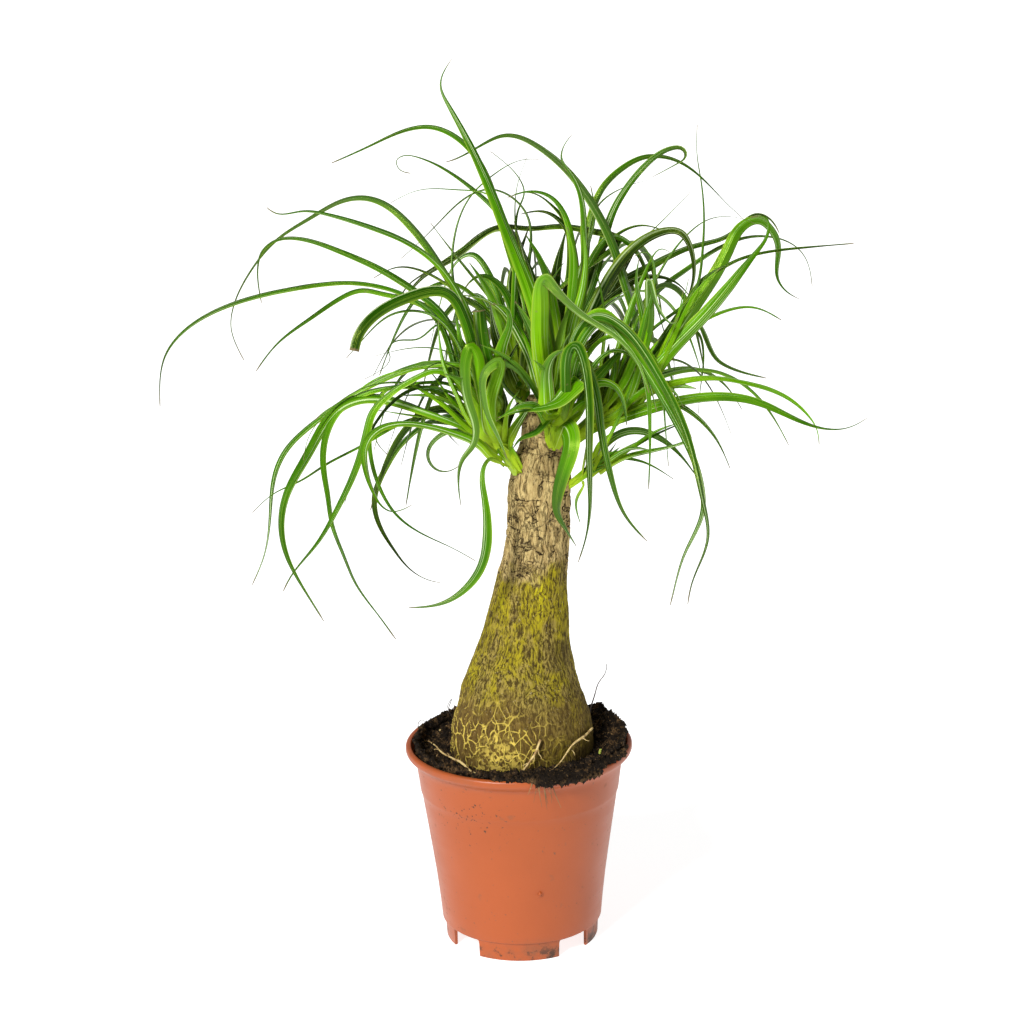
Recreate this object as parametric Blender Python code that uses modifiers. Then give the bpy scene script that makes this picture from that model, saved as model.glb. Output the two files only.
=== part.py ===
"""Potted ponytail palm: a nursery pot, potting soil, a swollen trunk with surface roots, and six leafy shoots.

Run with blender --background --python part.py. Metres, +Z up. The origin is the centre of the pot's foot on the
surface that it stands on, and -Y is the front.
"""

import math

import bmesh
import bpy
import numpy as np
from mathutils import Vector

MM = 0.001

# Driving dimensions, in millimetres.
RIM_RADIUS = 70.0
POT_HEIGHT = 126.5
FOOT_RADIUS = 47.5
FOOT_HEIGHT = 12.0
WALL = 1.4
FOOT_WALL = 2.0
NOTCH_ANGLES = (-48.0, 42.0, 132.0, 222.0)  # degrees from the front, anticlockwise seen from above
NOTCH_WIDTH = 23.0
DRAIN_RADIUS = 4.0
CLEARANCE = 0.3  # between touching pieces

# The trunk's centre line and radius: height, centre x, radius.
TRUNK = (
    (66, 1, 12), (76, 1, 30), (92, 1, 40), (108, 2, 43.5), (122, 2, 43.8), (135, 2.5, 43), (150, 2.5, 40.3),
    (170, 4, 33.8), (190, 6, 28), (210, 8, 24.2), (230, 10.3, 21.3), (250, 12.8, 19.3), (270, 14.5, 18.6),
    (290, 15.5, 18.8), (302, 17, 17), (314, 18, 14.2), (330, 18, 12.8), (342, 18, 11), (348, 18, 7),
)
TRUNK_SIDES = 28

SHOOT_RADIUS = 5.6
SHOOT_TAPER = 0.62
SHOOT_SIDES = 12
# Each shoot's stem, from inside the trunk to its crown.
SHOOTS = {
    "left": ((6, -8, 296), (-12, -16, 330)),
    "front": ((22, -6, 308), (24, -22, 346)),
    "right_low": ((26, -4, 286), (50, -10, 304)),
    "right": ((22, 3, 306), (62, 2, 338)),
    "back_left": ((12, 6, 320), (2, 24, 360)),
    "back_right": ((22, 7, 326), (33, 24, 372)),
}

BLADE_THICKNESS = 0.8
BLADE_CHANNEL = 0.16  # depth of the blade's channel, as a share of its width
SEAT_WIDTH = 4.5  # a blade's widest where it clasps its shoot
SEAT_LENGTH = 12.0  # the stretch over which it widens, and over which it can be eased away from its neighbours
BLADE_GAP = 0.6  # between one blade and another
ROUTE_STEP = 2.0
LONGEST_STEP = 26.0
SHARPEST_TURN = 18.0  # degrees between two sections of a blade
SMOOTHING = 8.0
SEAT_FREEDOM = 0.2
EASING = 0.6  # the share of an overlap that each of two blades gives way in one round
EASING_ROUNDS = 120

# Each leaf: shoot, seat along it (0 at the trunk, 1 at the crown), width, turn of the blade at its base and tip in
# degrees, whether its tip is trimmed, and the points that its midrib passes through.
LEAVES = {
    "left_leaf_long": ("left", 0.60, 4.5, (0, 20), False, (
        (-31, -14, 360), (-42, -20, 396), (-60, -23, 412), (-86, -24, 420), (-128, -24, 417), (-174, -20, 403),
        (-203, -16, 377), (-208, -14, 346))),
    "left_leaf_hook": ("left", 0.85, 4.5, (0, 20), False, (
        (-26, -5, 368), (-40, -6, 397), (-57, -2, 411), (-85, 8, 426), (-116, 16, 437), (-135, 20, 439),
        (-148, 22, 430), (-150, 22, 414), (-149, 22, 400))),
    "left_leaf_upswept": ("left", 0.90, 5.0, (0, 30), False, (
        (-15, -14, 362), (-32, -18, 415), (-47, -24, 435), (-73, -32, 451), (-102, -40, 462), (-118, -44, 465),
        (-133, -46, 465), (-137, -46, 468))),
    "left_leaf_arch": ("left", 0.82, 5.5, (0, 30), False, (
        (-9, -3, 360), (-30, 2, 406), (-61, 16, 449), (-79, 26, 460), (-94, 34, 460), (-116, 44, 449),
        (-143, 52, 431), (-163, 58, 405), (-172, 60, 378), (-165, 60, 357))),
    "left_leaf_folded": ("left", 0.78, 6.5, (0, 30), True, (
        (-17, -31, 356), (-27, -35, 401), (-37, -38, 416), (-56, -42, 415), (-75, -54, 408), (-87, -62, 395),
        (-89, -64, 388))),
    "left_leaf_outer": ("left", 0.64, 5.0, (0, 30), False, (
        (-20, 6, 346), (-37, 11, 362), (-66, 14, 359), (-93, 18, 346), (-120, 20, 327), (-142, 20, 303),
        (-148, 16, 276), (-153, 12, 246), (-161, 8, 228))),
    "left_leaf_broad": ("left", 0.55, 6.5, (0, 20), False, (
        (-30, -20, 333), (-59, -24, 346), (-86, -26, 352), (-102, -26, 346), (-116, -24, 326), (-129, -22, 305),
        (-137, -20, 287), (-138, -16, 257), (-127, -12, 229), (-117, -8, 209))),
    "left_leaf_drooping": ("left", 0.50, 6.0, (0, 20), False, (
        (-29, -30, 329), (-44, -40, 338), (-63, -52, 343), (-79, -62, 341), (-85, -66, 333), (-84, -66, 317),
        (-79, -64, 301), (-72, -62, 293), (-59, -60, 296))),
    "left_leaf_dark": ("left", 0.42, 5.0, (0, 20), False, (
        (-22, -4, 330), (-38, 10, 332), (-56, 20, 323), (-71, 26, 308), (-82, 30, 288), (-86, 30, 270),
        (-80, 28, 254), (-69, 24, 236), (-55, 20, 226), (-46, 18, 224))),
    "left_leaf_curled": ("left", 0.34, 3.5, (0, 10), False, (
        (-21, -12, 321), (-34, -10, 327), (-45, -10, 323), (-51, -10, 313), (-47, -10, 304), (-40, -10, 302),
        (-33, -10, 305))),
    "left_leaf_hanging": ("left", 0.35, 8.0, (0, 0), False, (
        (-13, -26, 314), (-18, -36, 309), (-18, -41, 298), (-16, -42, 282), (-17, -42, 267), (-20, -40, 253),
        (-34, -38, 234), (-47, -36, 227), (-64, -34, 225))),
    "left_leaf_falling": ("left", 0.70, 5.5, (0, 20), False, (
        (-25, -24, 352), (-44, -30, 369), (-61, -34, 363), (-74, -38, 355), (-83, -42, 344), (-86, -44, 329),
        (-91, -44, 316), (-102, -44, 293), (-115, -42, 270), (-130, -40, 252), (-138, -38, 238))),
    "left_leaf_trimmed": ("left", 0.98, 7.0, (0, 0), True, ((-12, -26, 352), (-16, -25, 378), (-18, -24, 402))),
    "front_leaf_tallest": ("front", 0.95, 8.0, (0, 0), False, (
        (20, -23, 374), (14, -20, 404), (0, -14, 443), (-18, -8, 488), (-34, -4, 519), (-38, -4, 531),
        (-31, -4, 545))),
    "front_leaf_kinked": ("front", 0.80, 9.0, (0, 0), False, (
        (21, -30, 352), (18, -34, 377), (17, -40, 408), (20, -46, 424), (28, -52, 416), (39, -58, 407),
        (50, -64, 399), (61, -70, 393), (71, -76, 381), (77, -80, 364))),
    "front_leaf_apron": ("front", 0.28, 9.0, (0, 0), False, (
        (31, -35, 334), (33, -43, 330), (31, -48, 318), (27, -50, 306), (25, -50, 295), (26, -48, 283),
        (32, -46, 273), (36, -44, 264))),
    "front_leaf_hanging": ("front", 0.62, 6.0, (0, 0), False, (
        (30, -41, 351), (31, -47, 373), (33, -53, 385), (37, -61, 388), (41, -70, 378), (43, -78, 363), (43, -82, 345),
        (43, -84, 322), (42, -82, 286), (36, -80, 265))),
    "front_leaf_draped": ("front", 0.75, 6.0, (0, 0), False, (
        (35, -30, 356), (39, -42, 377), (44, -56, 373), (49, -66, 358), (51, -72, 338), (55, -74, 316),
        (60, -74, 298), (68, -72, 283), (76, -70, 274))),
    "front_leaf_sweeping": ("front", 0.90, 5.5, (0, 0), False, (
        (32, -28, 370), (38, -38, 391), (48, -52, 403), (60, -68, 402), (84, -102, 373), (94, -116, 354), (104, -138, 314),
        (106, -142, 299), (97, -148, 274), (94, -150, 261))),
    "front_leaf_yellow_tip": ("front", 0.85, 5.5, (0, 0), False, (
        (34, -35, 367), (42, -43, 389), (50, -50, 400), (63, -62, 391), (76, -76, 375), (88, -88, 356), (99, -98, 335),
        (105, -104, 316), (106, -106, 304), (100, -108, 289), (94, -108, 273), (87, -108, 247))),
    "front_leaf_short": ("front", 0.50, 8.0, (0, 0), False, (
        (17, -40, 345), (8, -52, 352), (-1, -56, 350), (-10, -54, 343))),
    "front_leaf_arching": ("front", 0.82, 6.0, (0, 0), False, (
        (29, -15, 370), (36, -12, 405), (37, -8, 430), (33, -4, 452), (24, 0, 464), (10, 0, 467), (0, 0, 464))),
    "right_low_leaf_straight": ("right_low", 0.95, 3.0, (0, 0), True, ((60, -14, 307), (80, -18, 314), (105, -22, 322))),
    "right_low_leaf_rising": ("right_low", 0.95, 3.5, (0, 0), False, (
        (58, 0, 305), (75, 6, 314), (89, 10, 319), (102, 14, 323))),
    "right_low_leaf_arch": ("right_low", 0.80, 5.0, (0, 20), False, (
        (58, 6, 316), (69, 14, 319), (81, 22, 316), (94, 28, 308), (103, 32, 298), (109, 34, 288), (115, 36, 280))),
    "right_low_leaf_thin": ("right_low", 0.60, 2.0, (0, 0), False, (
        (41, -16, 294), (38, -18, 288), (37, -18, 279), (39, -18, 271))),
    "right_leaf_broad_upper": ("right", 0.93, 9.0, (0, 0), False, (
        (78, 6, 356), (91, 10, 370), (113, 16, 399), (129, 22, 424), (140, 28, 441), (150, 32, 443), (158, 34, 436),
        (162, 36, 424), (161, 38, 410), (167, 40, 398), (176, 42, 392))),
    "right_leaf_broad_lower": ("right", 0.85, 9.0, (0, 0), False, (
        (70, -2, 346), (85, -6, 363), (104, -8, 384), (121, -10, 402), (139, -12, 427), (150, -14, 444),
        (149, -15, 451), (140, -16, 452))),
    "right_leaf_pale": ("right", 0.75, 4.5, (0, 20), False, (
        (74, -10, 346), (96, -14, 355), (128, -16, 357), (144, -14, 352), (159, -12, 346), (171, -10, 336),
        (179, -10, 327), (182, -10, 314))),
    "right_leaf_reaching": ("right", 0.65, 6.0, (0, 20), False, (
        (79, -18, 340), (104, -24, 347), (123, -28, 349), (137, -31, 348), (152, -34, 343), (168, -38, 336),
        (181, -40, 332), (193, -42, 332), (206, -42, 338))),
    "right_leaf_far": ("right", 0.90, 3.5, (0, 20), False, (
        (72, 20, 372), (87, 38, 397), (109, 56, 410), (125, 64, 419), (141, 70, 425), (155, 74, 426), (168, 78, 423),
        (177, 80, 418), (184, 82, 409), (188, 84, 392))),
    "right_leaf_spur": ("right", 0.80, 5.0, (0, 20), False, (
        (80, 14, 351), (101, 26, 377), (113, 34, 381), (119, 38, 368), (123, 39, 360), (128, 40, 354), (137, 42, 350),
        (149, 44, 347), (156, 44, 343))),
    "right_leaf_upright": ("right", 0.74, 5.0, (0, 0), False, (
        (66, -12, 356), (79, -14, 393), (83, -18, 415), (83, -20, 428), (79, -22, 434), (72, -24, 432))),
    "right_leaf_high_arch": ("right", 0.97, 6.0, (0, 0), False, (
        (73, 14, 361), (76, 20, 381), (71, 22, 402), (61, 24, 433), (41, 31, 467), (29, 36, 480), (15, 38, 490),
        (0, 40, 495), (-14, 42, 490), (-28, 44, 482), (-37, 46, 479))),
    "back_left_leaf_high": ("back_left", 0.95, 4.5, (0, 0), False, (
        (10, 20, 392), (1, 24, 425), (-12, 30, 471), (-25, 32, 491), (-44, 36, 501), (-77, 44, 492),
        (-106, 50, 479))),
    "back_left_leaf_dark": ("back_left", 0.90, 7.0, (0, 0), False, (
        (6, 38, 392), (5, 48, 423), (-1, 58, 436), (-11, 66, 435), (-26, 74, 422), (-42, 80, 411), (-53, 84, 403),
        (-61, 86, 395), (-69, 88, 384))),
    "back_left_leaf_crook": ("back_left", 0.85, 3.5, (0, 0), False, (
        (2, 16, 396), (0, 16, 441), (-18, 18, 464), (-40, 14, 481), (-57, 10, 488), (-65, 8, 486), (-64, 8, 481),
        (-57, 8, 478))),
    "back_left_leaf_rear": ("back_left", 0.70, 6.0, (0, 0), False, (
        (-8, 48, 378), (-18, 75, 392), (-30, 110, 380), (-40, 138, 350), (-44, 150, 325))),
    "back_left_leaf_rear_middle": ("back_left", 0.75, 7.0, (0, 0), False, (
        (8, 44, 388), (10, 80, 398), (10, 115, 385), (8, 140, 358), (6, 150, 335))),
    "back_right_leaf_folded": ("back_right", 0.85, 6.0, (0, 0), False, (
        (43, 24, 390), (53, 31, 420), (61, 36, 447), (72, 34, 465), (82, 36, 477), (92, 38, 483), (104, 40, 485),
        (106, 38, 482), (99, 36, 476), (85, 34, 469))),
    "back_right_leaf_arch": ("back_right", 0.95, 4.5, (0, 0), False, (
        (42, 36, 405), (48, 48, 433), (54, 56, 455), (68, 62, 470), (84, 68, 477), (96, 72, 476), (111, 76, 469),
        (126, 80, 454), (145, 84, 435))),
    "back_right_leaf_dark": ("back_right", 0.75, 7.0, (0, 0), False, (
        (46, 14, 384), (53, 16, 399), (62, 17, 416), (76, 17, 432), (91, 16, 440), (101, 12, 440), (108, 10, 428),
        (109, 10, 413), (103, 10, 394))),
    "back_right_leaf_long": ("back_right", 0.80, 6.5, (0, 0), False, (
        (46, 32, 388), (67, 44, 404), (93, 52, 417), (119, 58, 426), (141, 62, 434), (152, 64, 441), (159, 64, 438),
        (165, 64, 429))),
    "back_right_leaf_erect": ("back_right", 0.95, 5.0, (0, 0), False, (
        (38, 8, 388), (43, 0, 410), (44, -3, 441), (42, -4, 464), (36, -2, 478), (31, 0, 486), (33, 2, 494),
        (38, 4, 500))),
    "back_right_leaf_rear": ("back_right", 0.70, 6.0, (0, 0), False, (
        (48, 46, 392), (66, 80, 396), (82, 112, 380), (92, 138, 350), (96, 150, 325))),
    "back_right_leaf_rear_middle": ("back_right", 0.85, 6.0, (0, 0), False, (
        (36, 50, 398), (40, 85, 405), (42, 118, 388), (42, 140, 360), (42, 152, 338))),
}

# Each surface root: radius at its thick end, and the points that it passes near. It is moved out of trunk and soil.
ROOTS = {
    "root_left": (1.3, (
        (-57, 18, 121), (-51, 5, 121), (-42, -13, 121), (-34, -28, 123), (-29, -41, 123), (-23, -49, 123))),
    "root_front": (1.0, ((13, -43, 143), (9, -46, 136), (4, -49, 128), (-1, -52, 124))),
    "root_right": (1.2, ((45, -12, 138), (38, -29, 138), (31, -38, 135), (26, -43, 130), (20, -49, 126))),
    "root_rear": (0.9, ((-41, 42, 119), (-50, 37, 119), (-56, 29, 119))),
}
ROOT_SIDES = 8
ROOT_REACH = 61.5  # the pot's inner wall

COLOURS = {
    "pot": ((0.66, 0.22, 0.10), 0.45),
    "soil": ((0.020, 0.014, 0.010), 0.95),
    "trunk": ((0.30, 0.22, 0.10), 0.90),
    "root": ((0.62, 0.46, 0.20), 0.80),
    "shoot": ((0.42, 0.62, 0.10), 0.50),
    "leaf": ((0.10, 0.32, 0.03), 0.38),
}


def clear_scene():
    for thing in list(bpy.data.objects):
        bpy.data.objects.remove(thing)


def new_collection(name):
    collection = bpy.data.collections.new(name)
    bpy.context.scene.collection.children.link(collection)
    return collection


def finish_of(name):
    """The shared Principled material of one kind of piece."""
    found = bpy.data.materials.get(name)
    if found:
        return found
    colour, roughness = COLOURS[name]
    material = bpy.data.materials.new(name)
    material.use_nodes = True
    shader = material.node_tree.nodes["Principled BSDF"]
    shader.inputs["Base Color"].default_value = (*colour, 1)
    shader.inputs["Roughness"].default_value = roughness
    shader.inputs["Metallic"].default_value = 0
    return material


def add_object(name, data, finish, collection):
    thing = bpy.data.objects.new(name, data)
    collection.objects.link(thing)
    if finish:
        data.materials.append(finish_of(finish))
    else:
        thing.hide_render = True
        thing.display_type = "WIRE"
    return thing


def mesh_from(name, fill):
    """A mesh made by fill(bm), which works in millimetres."""
    bm = bmesh.new()
    fill(bm)
    bmesh.ops.scale(bm, vec=(MM, MM, MM), verts=bm.verts)
    mesh = bpy.data.meshes.new(name)
    bm.to_mesh(mesh)
    bm.free()
    mesh.shade_smooth()
    mesh.set_sharp_from_angle(angle=math.radians(35))
    return mesh


def turned(name, profile, steps, finish, collection):
    """A closed profile of (radius, height), in millimetres, turned about the Z axis."""

    def fill(bm):
        points = [bm.verts.new((r, 0, z)) for r, z in profile]
        for a, b in zip(points, points[1:] + points[:1]):
            bm.edges.new((a, b))

    thing = add_object(name, mesh_from(name, fill), finish, collection)
    screw = thing.modifiers.new("turn", "SCREW")
    screw.steps = screw.render_steps = steps
    screw.use_merge_vertices = True
    screw.merge_threshold = 0.00001
    screw.use_normal_calculate = True
    return thing


def tube(name, points, radii, sides, finish, collection):
    """A round solid through the points, with a radius at each: a poly curve made into a welded mesh."""
    curve = bpy.data.curves.new(name, "CURVE")
    curve.dimensions = "3D"
    curve.bevel_depth = MM
    curve.bevel_resolution = sides // 2 - 2
    curve.use_fill_caps = True
    spline = curve.splines.new("POLY")
    spline.points.add(len(points) - 1)
    for place, point, radius in zip(spline.points, points, radii):
        place.co = (*(c * MM for c in point), 1)
        place.radius = radius
    guide = bpy.data.objects.new(name + "_curve", curve)
    collection.objects.link(guide)
    bpy.context.view_layer.update()
    graph = bpy.context.evaluated_depsgraph_get()
    mesh = bpy.data.meshes.new_from_object(guide.evaluated_get(graph))
    bpy.data.objects.remove(guide)
    bm = bmesh.new()
    bm.from_mesh(mesh)
    bmesh.ops.remove_doubles(bm, verts=bm.verts, dist=0.00001)
    bmesh.ops.recalc_face_normals(bm, faces=bm.faces)
    bm.to_mesh(mesh)
    bm.free()
    mesh.materials.clear()
    mesh.shade_smooth()
    return add_object(name, mesh, finish, collection)


def cut(thing, cutter, operation="DIFFERENCE"):
    boolean = thing.modifiers.new(cutter.name, "BOOLEAN")
    boolean.operation = operation
    boolean.solver = "EXACT"
    boolean.object = cutter


def smooth_through(points, spacing):
    """Points about spacing apart on the natural cubic spline through these, with the length along the chords."""
    points = np.array(points, float)
    knots = np.concatenate([[0], np.cumsum(np.linalg.norm(np.diff(points, axis=0), axis=1))])
    gaps = np.diff(knots)
    count = len(points)
    system = np.eye(count)
    slopes = np.zeros((count, points.shape[1]))
    for i in range(1, count - 1):
        system[i, i - 1 : i + 2] = gaps[i - 1], 2 * (gaps[i - 1] + gaps[i]), gaps[i]
        slopes[i] = 6 * ((points[i + 1] - points[i]) / gaps[i] - (points[i] - points[i - 1]) / gaps[i - 1])
    bend = np.linalg.solve(system, slopes)
    at = np.linspace(0, knots[-1], max(8, int(knots[-1] / spacing)))
    i = np.clip(np.searchsorted(knots, at, side="right") - 1, 0, count - 2)
    gap = gaps[i][:, None]
    before, after = (at - knots[i])[:, None], (knots[i + 1] - at)[:, None]
    return (
        (bend[i] * after**3 + bend[i + 1] * before**3) / (6 * gap)
        + (points[i] / gap - bend[i] * gap / 6) * after
        + (points[i + 1] / gap - bend[i + 1] * gap / 6) * before
    )


def trunk_at(height):
    """(centre x, radius) of the trunk at this height."""
    heights, centres, radii = zip(*TRUNK)
    return np.interp(height, heights, centres), np.interp(height, heights, radii)


def soil_height(x, y):
    """The soil's surface: level in the middle, heaped up at the right and front, lower at the left."""

    def mound(rise, cx, cy, spread):
        return rise * math.exp(-((x - cx) ** 2 + (y - cy) ** 2) / (2 * spread**2))

    return 120.5 + mound(9, 48, 30, 16) + mound(4, 20, -52, 20) + mound(-3, -50, 0, 22) + mound(3, -10, 55, 20)


# --- the pot ---------------------------------------------------------------------------------------------------


def pot_inside():
    """(radius, height) of the pot's inner wall, from the floor up to the rim."""
    floor = FOOT_HEIGHT + WALL
    return ((FOOT_RADIUS + 0.8, floor), (62.2 - WALL, 104), (63.6 - WALL, 118), (64.6, POT_HEIGHT - 1.6))


def make_pot(parts, cutters):
    inner = pot_inside()
    profile = (
        (0, FOOT_HEIGHT), (FOOT_RADIUS - FOOT_WALL, FOOT_HEIGHT), (FOOT_RADIUS - FOOT_WALL, 0), (FOOT_RADIUS, 0),
        (FOOT_RADIUS + 0.7, FOOT_HEIGHT - 0.6), (FOOT_RADIUS + 2.4, FOOT_HEIGHT + 1), (62.2, 104), (63.6, 118),
        (64.4, 123.6), (RIM_RADIUS - 2.4, 124), (RIM_RADIUS - 1.3, 123.2), (RIM_RADIUS - 1.3, 120.4),
        (RIM_RADIUS, 120.4), (RIM_RADIUS, 124.4), (RIM_RADIUS - 0.7, 125.8), (RIM_RADIUS - 2, POT_HEIGHT),
        (65.6, POT_HEIGHT), *reversed(inner), (0, inner[0][1]),
    )
    pot = turned("pot", profile[::-1], 72, "pot", parts)
    for number, angle in enumerate(NOTCH_ANGLES):
        direction = math.radians(angle - 90)
        place = Vector((math.cos(direction), math.sin(direction), 0)) * FOOT_RADIUS

        def notch(bm):
            bmesh.ops.create_cube(bm, size=1)
            bmesh.ops.scale(bm, vec=(14, NOTCH_WIDTH, 2 * (FOOT_HEIGHT - 0.8)), verts=bm.verts)

        def drain(bm):
            bmesh.ops.create_cone(
                bm, cap_ends=True, segments=16, radius1=DRAIN_RADIUS, radius2=DRAIN_RADIUS, depth=12 * WALL
            )

        cutter = add_object(f"notch_{number}", mesh_from("notch", notch), None, cutters)
        cutter.location = place * MM
        cutter.rotation_euler.z = direction
        cut(pot, cutter)
        cutter = add_object(f"drain_{number}", mesh_from("drain", drain), None, cutters)
        cutter.location = (place * 0.62 + Vector((0, 0, FOOT_HEIGHT))) * MM
        cut(pot, cutter)
    return pot


# --- trunk, soil and roots ---------------------------------------------------------------------------------------


def make_trunk(name, grown, finish, collection):
    """The trunk, or with grown above 0 the larger shape that keeps its neighbours clear."""
    profile = smooth_through([(centre, 0, height, radius) for height, centre, radius in TRUNK], 11)
    points = [tuple(row[:3]) for row in profile]
    points[0] = (points[0][0], 0, points[0][2] - grown)
    points[-1] = (points[-1][0], 0, points[-1][2] + grown)
    return tube(name, points, [row[3] + grown for row in profile], TRUNK_SIDES, finish, collection)


def make_soil(trunk_space, parts, cutters):
    inner = pot_inside()
    across = [(radius - CLEARANCE, height) for radius, height in inner]
    across[0] = (across[0][0], inner[0][1] + CLEARANCE)
    bounds = turned(
        "soil_bounds",
        [(0, across[0][1]), *across, (across[-1][0], 150), (0, 150)],
        72,
        None,
        cutters,
    )

    def fill(bm):
        bmesh.ops.create_grid(bm, x_segments=22, y_segments=22, size=70)
        top = list(bm.verts)
        for vert in top:
            vert.co.z = soil_height(vert.co.x, vert.co.y)
        made = bmesh.ops.extrude_face_region(bm, geom=list(bm.faces))
        for vert in (v for v in made["geom"] if isinstance(v, bmesh.types.BMVert)):
            vert.co.z = 5
        bmesh.ops.recalc_face_normals(bm, faces=bm.faces)

    soil = add_object("soil", mesh_from("soil", fill), "soil", parts)
    cut(soil, bounds, "INTERSECT")
    cut(soil, trunk_space)


def beside_plant(point, radius):
    """The point moved off the trunk, inside the pot and up onto the soil, with room for a root of this radius."""
    x, y, z = point
    room = radius + CLEARANCE + 0.25
    for _ in range(4):
        z = max(z, soil_height(x, y) + room)
        centre, girth = trunk_at(z)
        away = math.hypot(x - centre, y)
        stretch = max(1.0, (girth + room) / away)
        x, y = centre + (x - centre) * stretch, y * stretch
        inside = min(1.0, (ROOT_REACH - room) / math.hypot(x, y))
        x, y = x * inside, y * inside
    return x, y, z


def make_roots(parts):
    for name, (thick, route) in ROOTS.items():
        points = smooth_through(route, 6)
        radii = np.linspace(thick, 0.6 * thick, len(points))
        settled = [beside_plant(point, radius) for point, radius in zip(points, radii)]
        tube(name, settled, radii, ROOT_SIDES, "root", parts)


# --- shoots and leaves -------------------------------------------------------------------------------------------


def shoot_point(shoot, seat):
    """(point, direction, radius) of a shoot's stem at a share of its length."""
    low, high = (np.array(end, float) for end in SHOOTS[shoot])
    direction = (high - low) / np.linalg.norm(high - low)
    return low + (high - low) * seat, direction, SHOOT_RADIUS * (1 + (SHOOT_TAPER - 1) * seat)


def make_shoots(trunk_space, parts):
    for name in SHOOTS:
        seats = (0, 0.35, 0.7, 0.97, 1.0)
        radii = [shoot_point(name, seat)[2] for seat in seats]
        radii[-1] *= 0.6
        points = [shoot_point(name, seat)[0] for seat in seats]
        shoot = tube(f"{name}_shoot", points, radii, SHOOT_SIDES, "shoot", parts)
        cut(shoot, trunk_space)


class Blade:
    """One leaf: its midrib as points a step apart, and its frame and half width at each of them."""

    def __init__(self, name, shoot, seat, width, turn, trimmed, points):
        self.name = name
        self.width = width
        self.turn = turn
        self.trimmed = trimmed
        self.middle, self.along, radius = shoot_point(shoot, seat)
        start = self.middle + self.outwards(np.array(points[0], float)) * (radius + CLEARANCE + BLADE_THICKNESS / 2)
        self.route = smooth_through([start, *points], ROUTE_STEP)
        self.measure()

    def outwards(self, point):
        """The direction square to the shoot, from its axis at the seat towards a point."""
        towards = point - self.middle
        towards = towards - self.along * (towards @ self.along)
        return towards / np.linalg.norm(towards)

    def measure(self):
        """Works out the frames, half widths and lengths again after the route has moved."""
        lengths = np.linalg.norm(np.diff(self.route, axis=0), axis=1)
        self.length = np.concatenate([[0], np.cumsum(lengths)])
        share = self.length / self.length[-1]
        ahead = np.gradient(self.route, axis=0)
        self.ahead = ahead / np.linalg.norm(ahead, axis=1)[:, None]
        wide = np.empty_like(self.route)
        side = np.cross(self.along, self.outwards(self.route[0]))
        for i, way in enumerate(self.ahead):
            side = side - way * (side @ way)
            side /= np.linalg.norm(side)
            wide[i] = side
        angle = np.radians(self.turn[0] + (self.turn[1] - self.turn[0]) * share)[:, None]
        self.wide = wide * np.cos(angle) + np.cross(self.ahead, wide) * np.sin(angle)
        self.face = np.cross(self.wide, self.ahead)
        at_seat = np.clip(1 - self.length / SEAT_LENGTH, 0, 1)
        widest = self.width + (min(self.width, SEAT_WIDTH) - self.width) * at_seat
        if self.trimmed:
            narrowing = 1 - 0.15 * share
        else:
            narrowing = np.maximum(0.16, (1 - share**2.2) ** 0.9)
        self.half = widest * narrowing / 2
        self.thick = BLADE_THICKNESS / 2 * (1 - 0.65 * share)
        self.lift = 2 * BLADE_CHANNEL * self.half

    def sections(self):
        """Where the midrib needs a section: after a long step or a sharp turn."""
        kept = [0]
        for i in range(1, len(self.route) - 1):
            turn = math.degrees(math.acos(np.clip(self.ahead[i] @ self.ahead[kept[-1]], -1, 1)))
            gone = self.length[i] - self.length[kept[-1]]
            left = self.length[-1] - self.length[i]
            if (gone > LONGEST_STEP or (turn > SHARPEST_TURN and gone > 2)) and left > 2:
                kept.append(i)
        return [*kept, len(self.route) - 1]

    def move(self, push, firm):
        """Moves the midrib by these steps, evened out along it and less at its seat, and by the firm steps as they are."""
        reach = int(SMOOTHING / ROUTE_STEP)
        weights = np.hanning(2 * reach + 3)[1:-1]
        weights /= weights.sum()
        padded = np.pad(push, ((reach, reach), (0, 0)), mode="edge")
        even = np.stack([np.convolve(padded[:, k], weights, "valid") for k in range(3)], axis=1)
        free = np.clip(self.length / SEAT_LENGTH, SEAT_FREEDOM, 1)[:, None]
        self.route = self.route + even * free + firm
        self.measure()

    def boxes(self):
        """Small boxes along the blade: centres, and three half sides with their directions."""
        centres = self.route - self.face * ((self.lift - self.thick) / 2)[:, None]
        depth = (self.lift + self.thick) / 2 + BLADE_GAP / 2
        halves = np.stack([self.half + BLADE_GAP / 2, depth, np.full_like(depth, ROUTE_STEP / 2)], axis=1)
        return centres, np.stack([self.wide, self.face, self.ahead], axis=1), halves


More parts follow.
